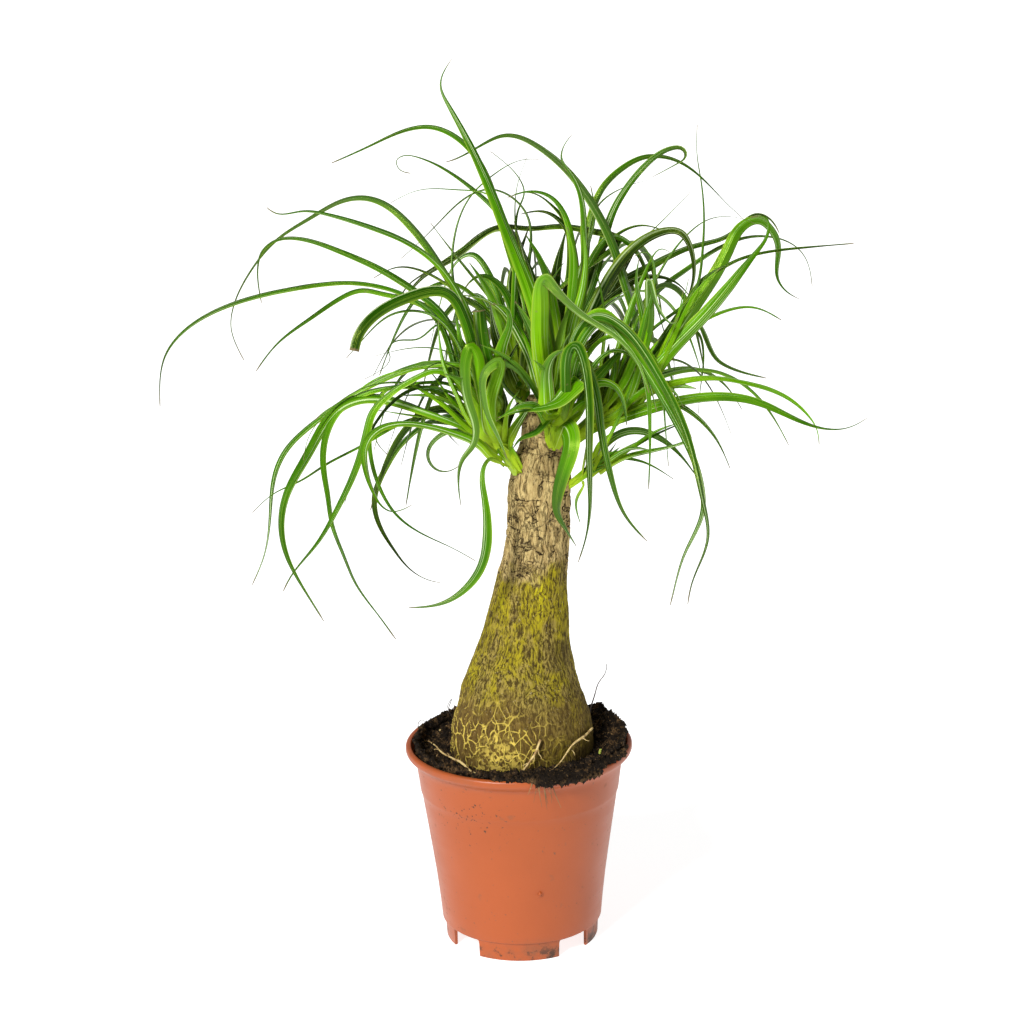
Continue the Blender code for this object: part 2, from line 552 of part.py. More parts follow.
def pushes_between(first, second):
    """The steps that would part two blades, one row for each point of each midrib."""
    moves = np.zeros_like(first.route), np.zeros_like(second.route)
    (centres_a, axes_a, halves_a), (centres_b, axes_b, halves_b) = first.boxes(), second.boxes()
    apart = np.linalg.norm(centres_a[:, None] - centres_b[None], axis=2)
    i, j = np.nonzero(apart < halves_a[:, 0][:, None] + halves_b[:, 0][None] + 1)
    if len(i) == 0:
        return moves
    between = centres_b[j] - centres_a[i]
    axes = np.concatenate([axes_a[i], axes_b[j]], axis=1)
    reach_a = np.einsum("nak,nbk->nab", axes, axes_a[i])
    reach_b = np.einsum("nak,nbk->nab", axes, axes_b[j])
    reach = np.einsum("nab,nb->na", abs(reach_a), halves_a[i]) + np.einsum("nab,nb->na", abs(reach_b), halves_b[j])
    offset = np.einsum("nak,nk->na", axes, between)
    gap = abs(offset) - reach
    easiest = gap.argmax(axis=1)
    rows = np.arange(len(i))
    depth = -gap[rows, easiest]
    hit = depth > 0
    push = axes[rows, easiest] * (np.sign(offset[rows, easiest]) * depth * EASING)[:, None]
    for moved, index, way in ((moves[0], i[hit], -push[hit]), (moves[1], j[hit], push[hit])):
        total = np.zeros(len(moved))
        np.add.at(moved, index, way)
        np.add.at(total, index, 1)
        moved /= np.maximum(total, 1)[:, None]
    return moves


def push_off_stems(blade):
    """The steps that take a blade off the shoots and the trunk."""
    push = np.zeros_like(blade.route)
    needed = blade.thick + CLEARANCE + 0.1
    for low, high in SHOOTS.values():
        low, high = np.array(low, float), np.array(high, float)
        along = high - low
        share = np.clip((blade.route - low) @ along / (along @ along), 0, 1)
        away = blade.route - low - share[:, None] * along
        distance = np.linalg.norm(away, axis=1)
        short = SHOOT_RADIUS * (1 + (SHOOT_TAPER - 1) * share) + needed - distance
        push += away / distance[:, None] * np.clip(short, 0, None)[:, None]
    for i, (x, y, z) in enumerate(blade.route):
        centre, girth = trunk_at(z)
        away = math.hypot(x - centre, y)
        if z < TRUNK[-1][0] + 2 and away < girth + needed[i]:
            push[i] += np.array([x - centre, y, 0]) / away * (girth + needed[i] - away)
    return push


def part_blades(blades):
    """Eases blades that would run into each other, a shoot or the trunk apart, a little in each round."""
    for _ in range(EASING_ROUNDS):
        pushes = [np.zeros_like(blade.route) for blade in blades]
        for i, first in enumerate(blades):
            for j in range(i + 1, len(blades)):
                low, high = first.route.min(axis=0) - 6, first.route.max(axis=0) + 6
                near = ((blades[j].route > low) & (blades[j].route < high)).all(axis=1)
                if not near.any():
                    continue
                one, other = pushes_between(first, blades[j])
                pushes[i] += one
                pushes[j] += other
        if max(abs(push).max() for push in pushes) < 0.02:
            break
        for blade, push in zip(blades, pushes):
            blade.move(push, push_off_stems(blade))


def make_leaf(blade, parts):
    def fill(bm):
        rings = []
        for i in blade.sections():
            middle, wide, face = blade.route[i], blade.wide[i], blade.face[i]
            rings.append(
                [
                    bm.verts.new(middle - wide * blade.half[i] - face * blade.lift[i]),
                    bm.verts.new(middle + face * blade.thick[i]),
                    bm.verts.new(middle + wide * blade.half[i] - face * blade.lift[i]),
                    bm.verts.new(middle - face * blade.thick[i]),
                ]
            )
        for a, b in zip(rings, rings[1:]):
            for k in range(4):
                bm.faces.new((a[k - 1], a[k], b[k], b[k - 1]))
        for ring, corners in ((rings[0], ((0, 3, 1), (1, 3, 2))), (rings[-1], ((0, 1, 3), (1, 2, 3)))):
            for corner in corners:
                bm.faces.new([ring[k] for k in corner])

    add_object(blade.name, mesh_from(blade.name, fill), "leaf", parts)


def main():
    clear_scene()
    parts = new_collection("potted_ponytail_palm")
    cutters = new_collection("cutters")
    cutters.hide_render = True
    trunk_space = make_trunk("trunk_space", CLEARANCE, None, cutters)
    make_pot(parts, cutters)
    make_soil(trunk_space, parts, cutters)
    make_trunk("trunk", 0, "trunk", parts)
    make_roots(parts)
    make_shoots(trunk_space, parts)
    blades = [Blade(name, *leaf) for name, leaf in LEAVES.items()]
    part_blades(blades)
    for blade in blades:
        make_leaf(blade, parts)


main()
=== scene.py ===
"""Potted ponytail palm: the finish of its pot, soil, bark, roots, shoots and leaves.

Run it with blender --background --python scene.py. It is laid out as an add-on: settings, one operator
for each piece or group of like pieces, and a panel. Metres, +Z up; MM turns millimetres into metres.
"""

import math
from contextlib import contextmanager

import bmesh
import bpy
import numpy as np
from bpy.props import FloatProperty, FloatVectorProperty, IntProperty, PointerProperty
from mathutils import Matrix, Vector
from mathutils.bvhtree import BVHTree


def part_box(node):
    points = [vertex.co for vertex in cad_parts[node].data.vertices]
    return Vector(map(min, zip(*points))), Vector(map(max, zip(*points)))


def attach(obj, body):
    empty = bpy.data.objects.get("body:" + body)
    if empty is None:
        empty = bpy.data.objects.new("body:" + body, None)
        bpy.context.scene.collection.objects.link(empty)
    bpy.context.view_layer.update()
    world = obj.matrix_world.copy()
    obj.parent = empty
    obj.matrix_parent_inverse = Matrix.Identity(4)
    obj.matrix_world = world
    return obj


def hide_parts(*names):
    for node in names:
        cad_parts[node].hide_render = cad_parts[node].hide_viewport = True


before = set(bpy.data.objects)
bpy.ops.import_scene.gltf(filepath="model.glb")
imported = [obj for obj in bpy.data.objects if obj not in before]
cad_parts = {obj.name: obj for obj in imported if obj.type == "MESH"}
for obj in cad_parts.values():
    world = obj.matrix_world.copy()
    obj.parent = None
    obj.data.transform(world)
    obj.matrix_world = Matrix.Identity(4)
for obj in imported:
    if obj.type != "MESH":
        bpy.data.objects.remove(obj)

bl_info = {
    "name": "Potted Ponytail Palm",
    "version": (1, 0, 0),
    "blender": (4, 5, 0),
    "location": "View3D > Sidebar > Ponytail Palm",
    "description": "Builds a potted ponytail palm with its soil, bark, roots and leaves",
    "category": "Add Mesh",
}

MM = 0.001
BODY = "root"

POT_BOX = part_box("pot")
POT_HEIGHT = POT_BOX[1].z
POT_RADIUS = POT_BOX[1].x

# The camera: where it stands, how far it looks down and how much it leans.
CAMERA_PLACE = Vector((-0.0015, -1.5, 0.695))
CAMERA_PITCH = math.radians(15.7)
CAMERA_ROLL = math.radians(1.1)
CAMERA_LENS = 90.8
CAMERA_SENSOR = 36  # both in millimetres
BACK_LIMIT = 0.150  # how far behind the pot's axis a leaf may reach

# The pot's inner wall: (height, radius) in millimetres.
INNER_WALL = (
    (13, 48.2), (28, 50.0), (42, 51.6), (58, 53.9), (76, 56.4),
    (92, 58.9), (104, 60.7), (116, 62.2), (120.5, 64.0), (125, 66.2),
)

OPEN_SOIL_AREA = 0.0267  # square metres of rough soil in the open air
LOWEST_SOIL_TOP = 0.1
ABOVE_THE_POT = 0.3  # the height from which rays are sent down on the soil
PLANT_MIDDLE = Vector((0, 0, 0.25))

THREAD = 0.00022  # half the width of the thread that a leaf's tip is drawn out to
LONG_TAPER = 0.055  # how much half width a leaf gains for each unit of length behind its tip
BROAD_TAPER = 1.5  # the same for a short broad leaf, as a share of its half width over its length
NEXT_LEAF_TURN = 2.4  # radians around a stem from one leaf to the next

SHOOTS = ("left", "front", "right_low", "right", "back_left", "back_right")

# How each framed leaf looks, by shoot: its tone from 0, young yellow-green, to 1, old dark green, and its
# fold, the depth of its channel as a share of its half width. The darker tones of leaves deep in the crown
# and at the back also stand in for the shade there: painted shade.
LEAF_LOOKS = {
    "left": {
        "long": (0.60, 0.55), "hook": (0.62, 0.5), "upswept": (0.45, 0.35), "arch": (0.68, 0.5),
        "folded": (0.66, 0.4), "outer": (0.45, 0.6), "broad": (0.48, 0.5), "drooping": (0.40, 0.6),
        "dark": (0.80, 0.5), "curled": (0.60, 0.5), "hanging": (0.48, 0.35), "falling": (0.42, 0.5),
        "trimmed": (0.50, 0.4),
    },
    "front": {
        "tallest": (0.45, 0.3), "kinked": (0.26, 0.28), "apron": (0.46, 0.25), "hanging": (0.72, 0.6),
        "draped": (0.62, 0.6), "sweeping": (0.66, 0.6), "yellow_tip": (0.52, 0.6), "short": (0.40, 0.4),
        "arching": (0.40, 0.5),
    },
    "right_low": {
        "straight": (0.45, 0.5), "rising": (0.50, 0.5), "arch": (0.45, 0.5), "thin": (0.50, 0.5),
    },
    "right": {
        "broad_upper": (0.38, 0.5), "broad_lower": (0.34, 0.5), "pale": (0.15, 0.5),
        "reaching": (0.45, 0.5), "far": (0.60, 0.5), "spur": (0.55, 0.5), "upright": (0.42, 0.4),
        "high_arch": (0.62, 0.5),
    },
    "back_left": {
        "high": (0.58, 0.5), "dark": (0.85, 0.5), "crook": (0.55, 0.5), "rear": (0.60, 0.5),
        "rear_middle": (0.65, 0.5),
    },
    "back_right": {
        "folded": (0.62, 0.4), "arch": (0.62, 0.5), "dark": (0.90, 0.5), "long": (0.75, 0.5),
        "erect": (0.55, 0.5), "rear": (0.60, 0.5), "rear_middle": (0.62, 0.5),
    },
}
# How wide the leaves are along their length, against their framed width: most of them, and those that differ.
COMMON_WIDTHS = (1.05, 1.1, 1.1, 1.1, 1.05)
OWN_WIDTHS = {
    "left_leaf_hanging": (0.25, 0.30, 0.55, 1.0, 1.10, 0.9, 0.9),
    "left_leaf_arch": (1.0, 1.05, 1.05, 0.7, 0.55, 0.6),
    "front_leaf_kinked": (1.25, 1.4, 1.3, 0.9, 0.85, 0.8),
    "front_leaf_apron": (1.1, 1.45, 1.5, 1.3, 1.0),
    "left_leaf_trimmed": (1.1, 1.25, 1.3, 1.3),
    "front_leaf_tallest": (1.2, 1.25, 1.15, 1.0, 1.0),
}
# Where a few leaves show their dull underside, from 0 to 1 along their length.
DULL_SIDES = {
    "front_leaf_kinked": (0, 0, 0, 0.25, 0.9, 0.8, 0.5, 0.3),
    "left_leaf_arch": (0, 0, 0.3, 0.6, 0.4, 0.2),
    "left_leaf_hanging": (0, 0.1, 0, 0, 0.2, 0.6, 0.7),
    "front_leaf_apron": (0, 0, 0.2, 0.5, 0.3),
    "right_leaf_high_arch": (0, 0, 0.2, 0.8, 0.5, 0.3),
}
SHOOT_GIRTHS = {"right_low": 0.55}  # how thick a shoot looks against its framed stem
HEART_LEAVES = {"right_low": 4}  # how many young leaves stand in its heart, where they are not 8
TRIMMED_LEAVES = ("left_leaf_folded", "left_leaf_trimmed", "right_low_leaf_straight")

# The thinner leaves between the framed ones, by shoot: width, tone (with how dull the far half is, where it
# shows its underside), how far behind the pot's axis the leaf passes at its base, middle and tip, and the
# points (across, height) that its midrib passes as the camera lines them up with the upright plane through
# the axis. Millimetres.
# Here too the darker tones of leaves deep in the crown and at the back are partly painted shade.
THIN_LEAVES = {
    "left": (
        (5.0, 0.45, (-20, -30, -34), (
            (-45, 350), (-75, 352), (-100, 342), (-107, 334), (-113, 319), (-114, 303), (-112, 286),
            (-110, 268), (-104, 249), (-97, 230), (-85, 211), (-74, 194),
        )),
        (2.2, 0.60, (-20, -26, -30), (
            (-45, 348), (-72, 355), (-97, 348), (-112, 336), (-122, 323), (-126, 308),
        )),
        (4.0, 0.25, (-18, -20, -24), (
            (-31, 365), (-49, 365), (-68, 362), (-87, 354), (-99, 345), (-109, 340), (-118, 333),
        )),
        (3.6, 0.50, (-20, -30, -34), (
            (-39, 354), (-62, 354), (-76, 350), (-83, 338), (-86, 314), (-81, 291), (-71, 273), (-56, 261),
            (-37, 251), (-24, 243),
        )),
        (2.6, 0.55, (-14, -10, -6), (
            (-60, 332), (-90, 317), (-113, 305), (-129, 295), (-144, 288), (-158, 276),
        )),
        (2.4, 0.15, (-14, -18, -20), ((-30, 330), (-50, 333), (-80, 338))),
        (2.4, 0.75, (-10, -6, -4), ((-45, 330), (-66, 329), (-82, 321), (-75, 310))),
        (2.8, 0.65, (-10, 4, 8), ((-20, 318), (-30, 324), (-39, 325), (-32, 315))),
        (5.0, 0.50, (-10, -4, 4), (
            (-28, 375), (-45, 397), (-60, 405), (-76, 409), (-87, 411), (-101, 406), (-119, 394), (-138, 380),
            (-152, 363),
        )),
        (2.6, 0.55, (-24, -36, -40), ((-28, 370), (-48, 396), (-70, 396), (-87, 382), (-98, 370))),
        (1.8, 0.70, (-20, -34, -38), (
            (-30, 372), (-44, 389), (-55, 381), (-70, 379), (-73, 375), (-72, 371), (-80, 361), (-88, 357),
        )),
        (1.4, 0.70, (-20, -30, -34), ((-24, 362), (-34, 371), (-45, 375), (-63, 375), (-81, 371))),
        (4.5, 0.22, (-20, -26, -26), ((-28, 335), (-43, 354), (-50, 362), (-56, 364))),
        (5.0, 0.12, (-22, -30, -30), ((-26, 326), (-38, 338), (-58, 352), (-66, 356))),
        (8.5, (0.22, 0.9), (-30, -44, -52), (
            (-11, 324), (-13, 345), (-9, 366), (-15, 362), (-18, 346), (-15, 333), (-9, 320), (-4, 307),
        )),
        (8.0, (0.30, 0.8), (-28, -42, -50), (
            (-17, 323), (-19, 340), (-20, 358), (-21, 371), (-24, 375), (-27, 369), (-28, 358), (-26, 342),
            (-22, 327), (-24, 315), (-30, 307), (-33, 295), (-32, 277),
        )),
        (6.5, 0.20, (-20, -20, -18), ((-18, 325), (-24, 352), (-30, 378), (-33, 402))),
        (7.5, 0.18, (-24, -28, -28), ((-16, 327), (-20, 362), (-25, 388), (-29, 405))),
        (4.0, 0.15, (-24, -34, -38), ((-22, 327), (-32, 345), (-41, 368), (-43, 392))),
        (6.0, 0.55, (-10, 0, 8), ((-25, 341), (-31, 370), (-38, 390), (-52, 402), (-68, 408))),
        (10.5, 0.30, (-22, -24, -26), ((-9, 330), (-8, 356), (-5, 378), (-1, 390), (-3, 398), (-11, 401))),
        (8.0, (0.45, 0.7), (-22, -28, -34), ((-9, 344), (-7, 357), (-4, 365), (1, 363), (7, 356), (11, 347))),
        (4.0, 0.85, (-6, 4, 10), ((-8, 346), (-3, 364), (8, 384))),
        (6.5, 0.90, (-8, 0, 4), ((-6, 320), (-3, 330), (1, 338), (6, 345))),
        (6.0, 0.85, (-18, -24, -26), ((-2, 320), (4, 330), (10, 338), (17, 344))),
        (6.5, 0.85, (-12, -6, -2), ((-8, 323), (-6, 334), (-5, 346), (-8, 356))),
        (7.0, 0.75, (-8, 0, 6), ((-14, 335), (-16, 356), (-14, 376), (-18, 394))),
    ),
    "front": (
        (3.0, 0.70, (-23, -26, -28), ((8, 340), (-6, 359), (0, 369), (5, 379))),
        (6.0, 0.55, (-26, -40, -44), ((24, 334), (20, 330), (12, 322), (5, 319), (0, 313))),
        (14.0, 0.36, (-30, -46, -50), (
            (27, 335), (33, 347), (38, 353), (35, 350), (27, 342), (14, 338), (2, 336), (-9, 332),
        )),
        (5.0, 0.35, (-26, -34, -34), (
            (33, 355), (41, 385), (52, 395), (68, 381), (75, 367), (80, 352), (82, 328), (82, 312), (81, 286),
        )),
        (3.0, 0.45, (-20, -26, -30), ((36, 350), (58, 380), (84, 367), (89, 351), (91, 328), (93, 300))),
        (7.0, 0.45, (-20, -24, -30), ((32, 330), (44, 345), (52, 352), (60, 350), (66, 340), (68, 326))),
        (4.0, 0.55, (-22, -36, -48), ((34, 340), (48, 362), (62, 372), (74, 366), (82, 350), (86, 334))),
        (9.0, 0.62, (-14, 0, 8), (
            (21, 332), (18, 349), (13, 366), (6, 382), (-3, 396), (-14, 404), (-30, 407),
        )),
        (6.5, 0.38, (-16, -14, -10), ((27, 341), (33, 380), (38, 415), (38, 431), (34, 446))),
        (6.0, 0.22, (-20, -16, -12), ((29, 345), (35, 380), (41, 403), (44, 420), (44, 437), (42, 451))),
        (11.0, (0.30, 0.6), (-34, -40, -44), (
            (23, 320), (21, 336), (20, 350), (21, 362), (26, 370), (33, 373),
        )),
        (7.5, 0.15, (-30, -28, -26), ((24, 321), (26, 340), (28, 357), (34, 368), (44, 380))),
        (9.0, 0.50, (-20, -12, -8), ((38, 338), (46, 350), (56, 362), (66, 373), (76, 378))),
        (6.0, 0.20, (-26, -30, -30), ((26, 322), (33, 334), (42, 341), (52, 340))),
        (5.0, 0.30, (-22, -16, -12), ((20, 345), (12, 372), (2, 392), (-10, 402))),
    ),
    "right_low": (
        (3.0, 0.30, (-8, -10, -10), ((43, 299), (58, 304), (77, 317), (94, 325), (101, 327))),
        (2.4, 0.55, (-4, 2, 6), ((45, 302), (62, 306), (80, 302), (96, 292))),
        (3.5, 0.15, (-8, -12, -16), ((42, 300), (52, 315), (60, 322))),
    ),
    "right": (
        (4.0, 0.75, (6, 18, 24), (
            (105, 402), (114, 414), (124, 420), (132, 424), (150, 429), (170, 431), (202, 433),
        )),
        (2.2, 0.60, (4, 8, 10), (
            (85, 385), (108, 405), (113, 427), (114, 450), (112, 473), (110, 486), (110, 504),
        )),
        (2.0, 0.60, (4, 14, 18), ((84, 410), (104, 440), (117, 449), (136, 449), (144, 446))),
        (2.4, 0.65, (2, 6, 8), ((90, 370), (110, 382), (114, 366), (112, 346), (111, 332))),
        (1.8, 0.60, (2, 4, 6), ((82, 360), (94, 374), (96, 368), (96, 353))),
        (5.0, 0.25, (8, 18, 28), ((70, 345), (96, 376), (120, 392), (144, 396), (160, 388))),
        (4.0, 0.60, (-6, -20, -30), ((66, 335), (88, 340), (108, 332), (122, 316), (130, 298))),
        (5.0, 0.30, (4, 6, 10), ((60, 345), (66, 380), (80, 420), (90, 432), (94, 430))),
        (9.0, 0.95, (4, 8, 12), ((56, 331), (55, 342), (55, 355), (58, 368))),
        (8.0, 0.80, (4, 8, 12), ((56, 333), (60, 346), (65, 358), (72, 372))),
        (5.5, 0.12, (-8, -12, -16), ((60, 332), (73, 358), (82, 387), (85, 410), (84, 427))),
        (6.5, 0.42, (-4, -6, -10), (
            (60, 333), (68, 348), (76, 364), (79, 381), (77, 397), (74, 413), (76, 427),
        )),
        (8.0, (0.42, 0.7), (-8, -14, -24), (
            (66, 340), (77, 370), (82, 398), (82, 413), (85, 402), (89, 393), (96, 387), (99, 391),
        )),
        (3.5, 0.12, (-2, -6, -8), ((69, 334), (84, 358), (94, 381), (101, 398), (105, 414))),
        (4.5, 0.15, (-4, -8, -10), ((70, 334), (86, 358), (98, 384), (110, 407), (124, 420))),
        (3.5, 0.10, (0, -4, -6), ((74, 345), (90, 374), (99, 393), (102, 407))),
        (9.0, 0.06, (-8, -10, -10), ((60, 331), (68, 347), (77, 362), (88, 378))),
        (7.0, 0.20, (-2, 0, 2), ((64, 336), (78, 356), (92, 372), (104, 384))),
        (5.0, 0.30, (-10, -18, -24), ((60, 332), (74, 345), (86, 350), (96, 346), (102, 336))),
    ),
    "back_left": (
        (6.0, 0.70, (24, 30, 34), ((20, 400), (41, 404), (43, 441), (43, 455), (38, 472), (33, 480))),
        (2.2, 0.60, (22, 24, 24), ((6, 430), (6, 458), (9, 466), (5, 477), (-5, 487), (-10, 491))),
        (1.6, 0.60, (22, 22, 20), ((4, 440), (5, 470), (11, 487))),
        (6.5, 0.78, (26, 30, 34), ((30, 400), (36, 430), (33, 450), (26, 459), (12, 467), (-1, 464))),
        (5.4, 0.80, (26, 44, 60), (
            (40, 420), (63, 439), (47, 444), (30, 447), (10, 446), (-6, 447), (-19, 440), (-40, 426),
            (-50, 420), (-59, 414), (-67, 402),
        )),
        (2.0, 0.70, (22, 20, 14), (
            (12, 430), (10, 455), (-12, 469), (-22, 466), (-41, 450), (-58, 434), (-64, 429),
        )),
        (1.6, 0.40, (22, 16, 12), ((0, 440), (-12, 466), (-29, 469), (-53, 469), (-69, 462))),
        (2.0, 0.60, (16, 12, 10), (
            (-20, 380), (-33, 412), (-32, 441), (-22, 465), (-9, 477), (10, 486), (18, 486),
        )),
        (8.5, 0.85, (28, 30, 34), ((8, 385), (2, 405), (3, 425), (8, 438), (12, 448))),
        (9.5, 0.75, (24, 20, 14), ((14, 370), (15, 392), (13, 412), (8, 432), (3, 450))),
        (3.0, 0.70, (20, 30, 40), ((-6, 395), (-22, 418), (-36, 436), (-46, 450))),
        (9.0, 0.95, (6, 4, 2), ((2, 350), (-4, 366), (-10, 384), (-12, 402))),
        (8.0, 0.95, (8, 8, 8), ((6, 352), (8, 370), (10, 388), (8, 404))),
        (3.0, 0.75, (20, 36, 50), ((-10, 390), (-30, 408), (-48, 420), (-66, 424), (-80, 418))),
        (7.0, 0.60, (20, 16, 10), ((8, 375), (2, 396), (-6, 412), (-18, 418), (-26, 412))),
    ),
    "back_right": (
        (6.0, 0.80, (26, 28, 30), ((36, 395), (38, 430), (32, 447), (21, 455), (7, 454))),
        (9.0, 0.88, (28, 30, 30), ((25, 385), (26, 410), (30, 434), (35, 450))),
        (9.5, 0.98, (10, 6, 4), ((36, 345), (42, 362), (50, 380), (60, 396))),
        (9.0, 0.98, (8, 6, 4), ((42, 338), (48, 348), (54, 362), (58, 376))),
        (8.0, 0.95, (12, 10, 8), ((34, 352), (38, 370), (40, 388), (44, 404))),
        (2.0, 0.65, (30, 40, 44), ((46, 430), (52, 458), (71, 470), (90, 474))),
        (1.6, 0.70, (28, 40, 48), ((60, 420), (85, 444), (106, 465))),
        (6.0, 0.85, (28, 40, 50), ((48, 392), (64, 408), (82, 416), (98, 412), (108, 400))),
        (4.0, 0.75, (28, 30, 34), ((40, 400), (52, 428), (62, 440), (78, 446), (92, 442))),
        (9.0, 0.80, (30, 36, 40), ((42, 384), (54, 402), (66, 420), (76, 436))),
        (4.0, 0.60, (30, 30, 30), ((36, 400), (46, 436), (50, 452), (48, 470))),
    ),
}

# Leaves that arch away behind, by shoot: how many, and the directions between which they fan out, in degrees
# anticlockwise from +X seen from above.
REAR_FANS = {
    "left": (6, 150, 215),
    "back_left": (12, 62, 160),
    "back_right": (12, 20, 118),
    "right": (6, -25, 45),
}


# --- node trees -----------------------------------------------------------------------------------


class Wire:
    """An output socket, so that an expression on it adds Math nodes to its tree."""

    def __init__(self, graph, socket):
        self.graph = graph
        self.socket = socket

    def also(self, name):
        """Another output of the same node."""
        return Wire(self.graph, self.socket.node.outputs[name])

    def maths(self, operation, *others, clamp=False):
        values = dict(enumerate((self, *others)))
        return self.graph.add("ShaderNodeMath", {"operation": operation, "use_clamp": clamp}, values)

    def clamped(self):
        """The same value, held between 0 and 1."""
        return self.maths("ADD", 0.0, clamp=True)

    def __add__(self, other):
        return self.maths("ADD", other)

    __radd__ = __add__

    def __mul__(self, other):
        return self.maths("MULTIPLY", other)

    __rmul__ = __mul__

    def __sub__(self, other):
        return self.maths("SUBTRACT", other)

    def __rsub__(self, other):
        return self.graph.add("ShaderNodeMath", {"operation": "SUBTRACT"}, {0: other, 1: self})

    def __pow__(self, other):
        return self.maths("POWER", other)

    def __abs__(self):
        return self.maths("ABSOLUTE")

    def between(self, low, high):
        """0 at low and 1 at high, with a smooth step from one to the other; low may be above high."""
        if low > high:
            return 1 - self.between(high, low)
        sockets = {"Value": self, "From Min": low, "From Max": high}
        return self.graph.add("ShaderNodeMapRange", {"interpolation_type": "SMOOTHSTEP"}, sockets)


class Graph:
    """A node tree being built, of a material or of Geometry Nodes."""

    def __init__(self, tree):
        self.tree = tree

    def add(self, kind, settings=None, sockets=None, out=0):
        """Makes a node with these settings and these values or links at its sockets; returns an output."""
        node = self.tree.nodes.new(kind)
        for name, value in (settings or {}).items():
            if name == "stops":
                self.set_stops(node.color_ramp, value)
            else:
                setattr(node, name, value)
        for key, value in (sockets or {}).items():
            if isinstance(key, int):
                socket = node.inputs[key]
            else:
                found = [s for s in node.inputs if s.identifier == key]
                socket = found[0] if found else node.inputs[key]
            if isinstance(value, Wire):
                self.tree.links.new(value.socket, socket)
            else:
                socket.default_value = value
        return Wire(self, node.outputs[out]) if node.outputs else node

    @staticmethod
    def set_stops(ramp, stops):
        while len(ramp.elements) < len(stops):
            ramp.elements.new(0.5)
        for element, (place, colour) in zip(ramp.elements, stops):
            element.position = place
            element.color = (*colour, 1)

    def mix(self, factor, first, second):
        """Mixes two colours."""
        sockets = {"Factor_Float": factor}
        for key, value in (("A_Color", first), ("B_Color", second)):
            sockets[key] = value if isinstance(value, Wire) else (*value, 1)
        return self.add("ShaderNodeMix", {"data_type": "RGBA"}, sockets, "Result")

    def layered(self, colour, *layers):
        """The colour with others laid over it; a layer is how far it covers those below, and its colour."""
        for cover, over in layers:
            colour = self.mix(cover, colour, over)
        return colour

    def vector(self, operation, *values, out=0):
        return self.add("ShaderNodeVectorMath", {"operation": operation}, dict(enumerate(values)), out)

    def combine(self, x, y, z):
        return self.add("ShaderNodeCombineXYZ", None, {"X": x, "Y": y, "Z": z})

    def separate(self, vector):
        """The vector's X; its Y and Z are the node's other outputs."""
        return self.add("ShaderNodeSeparateXYZ", None, {"Vector": vector})

    def noise(self, vector, scale, detail=3.0, roughness=0.55):
        sockets = {"Vector": vector, "Scale": scale, "Detail": detail, "Roughness": roughness}
        return self.add("ShaderNodeTexNoise", None, sockets)

    def voronoi(self, vector, scale, feature="F1"):
        return self.add("ShaderNodeTexVoronoi", {"feature": feature}, {"Vector": vector, "Scale": scale})

    def stretched(self, vector, x, y, z):
        """The vector with its parts scaled, which draws a pattern out along some of them."""
        return self.vector("MULTIPLY", vector, (x, y, z))


class Finish(Graph):
    """A material: a Principled shader whose colour, roughness and bump are worked out by nodes."""

    def __init__(self, name):
        self.material = bpy.data.materials.new(name)
        self.material.use_nodes = True
        super().__init__(self.material.node_tree)
        self.shader = self.tree.nodes["Principled BSDF"]
        self.place = self.add("ShaderNodeTexCoord", out="Object")

    def read(self, name):
        """One of the mesh's own attributes."""
        return self.add("ShaderNodeAttribute", {"attribute_name": name}, out="Fac")

    def set(self, **values):
        """Links or sets the shader's sockets; an underscore stands for a space."""
        for key, value in values.items():
            socket = self.shader.inputs[key.replace("_", " ")]
            if isinstance(value, Wire):
                self.tree.links.new(value.socket, socket)
            else:
                socket.default_value = value

    def bump(self, height, distance, strength):
        sockets = {"Height": height, "Distance": distance, "Strength": strength}
        self.set(Normal=self.add("ShaderNodeBump", None, sockets))


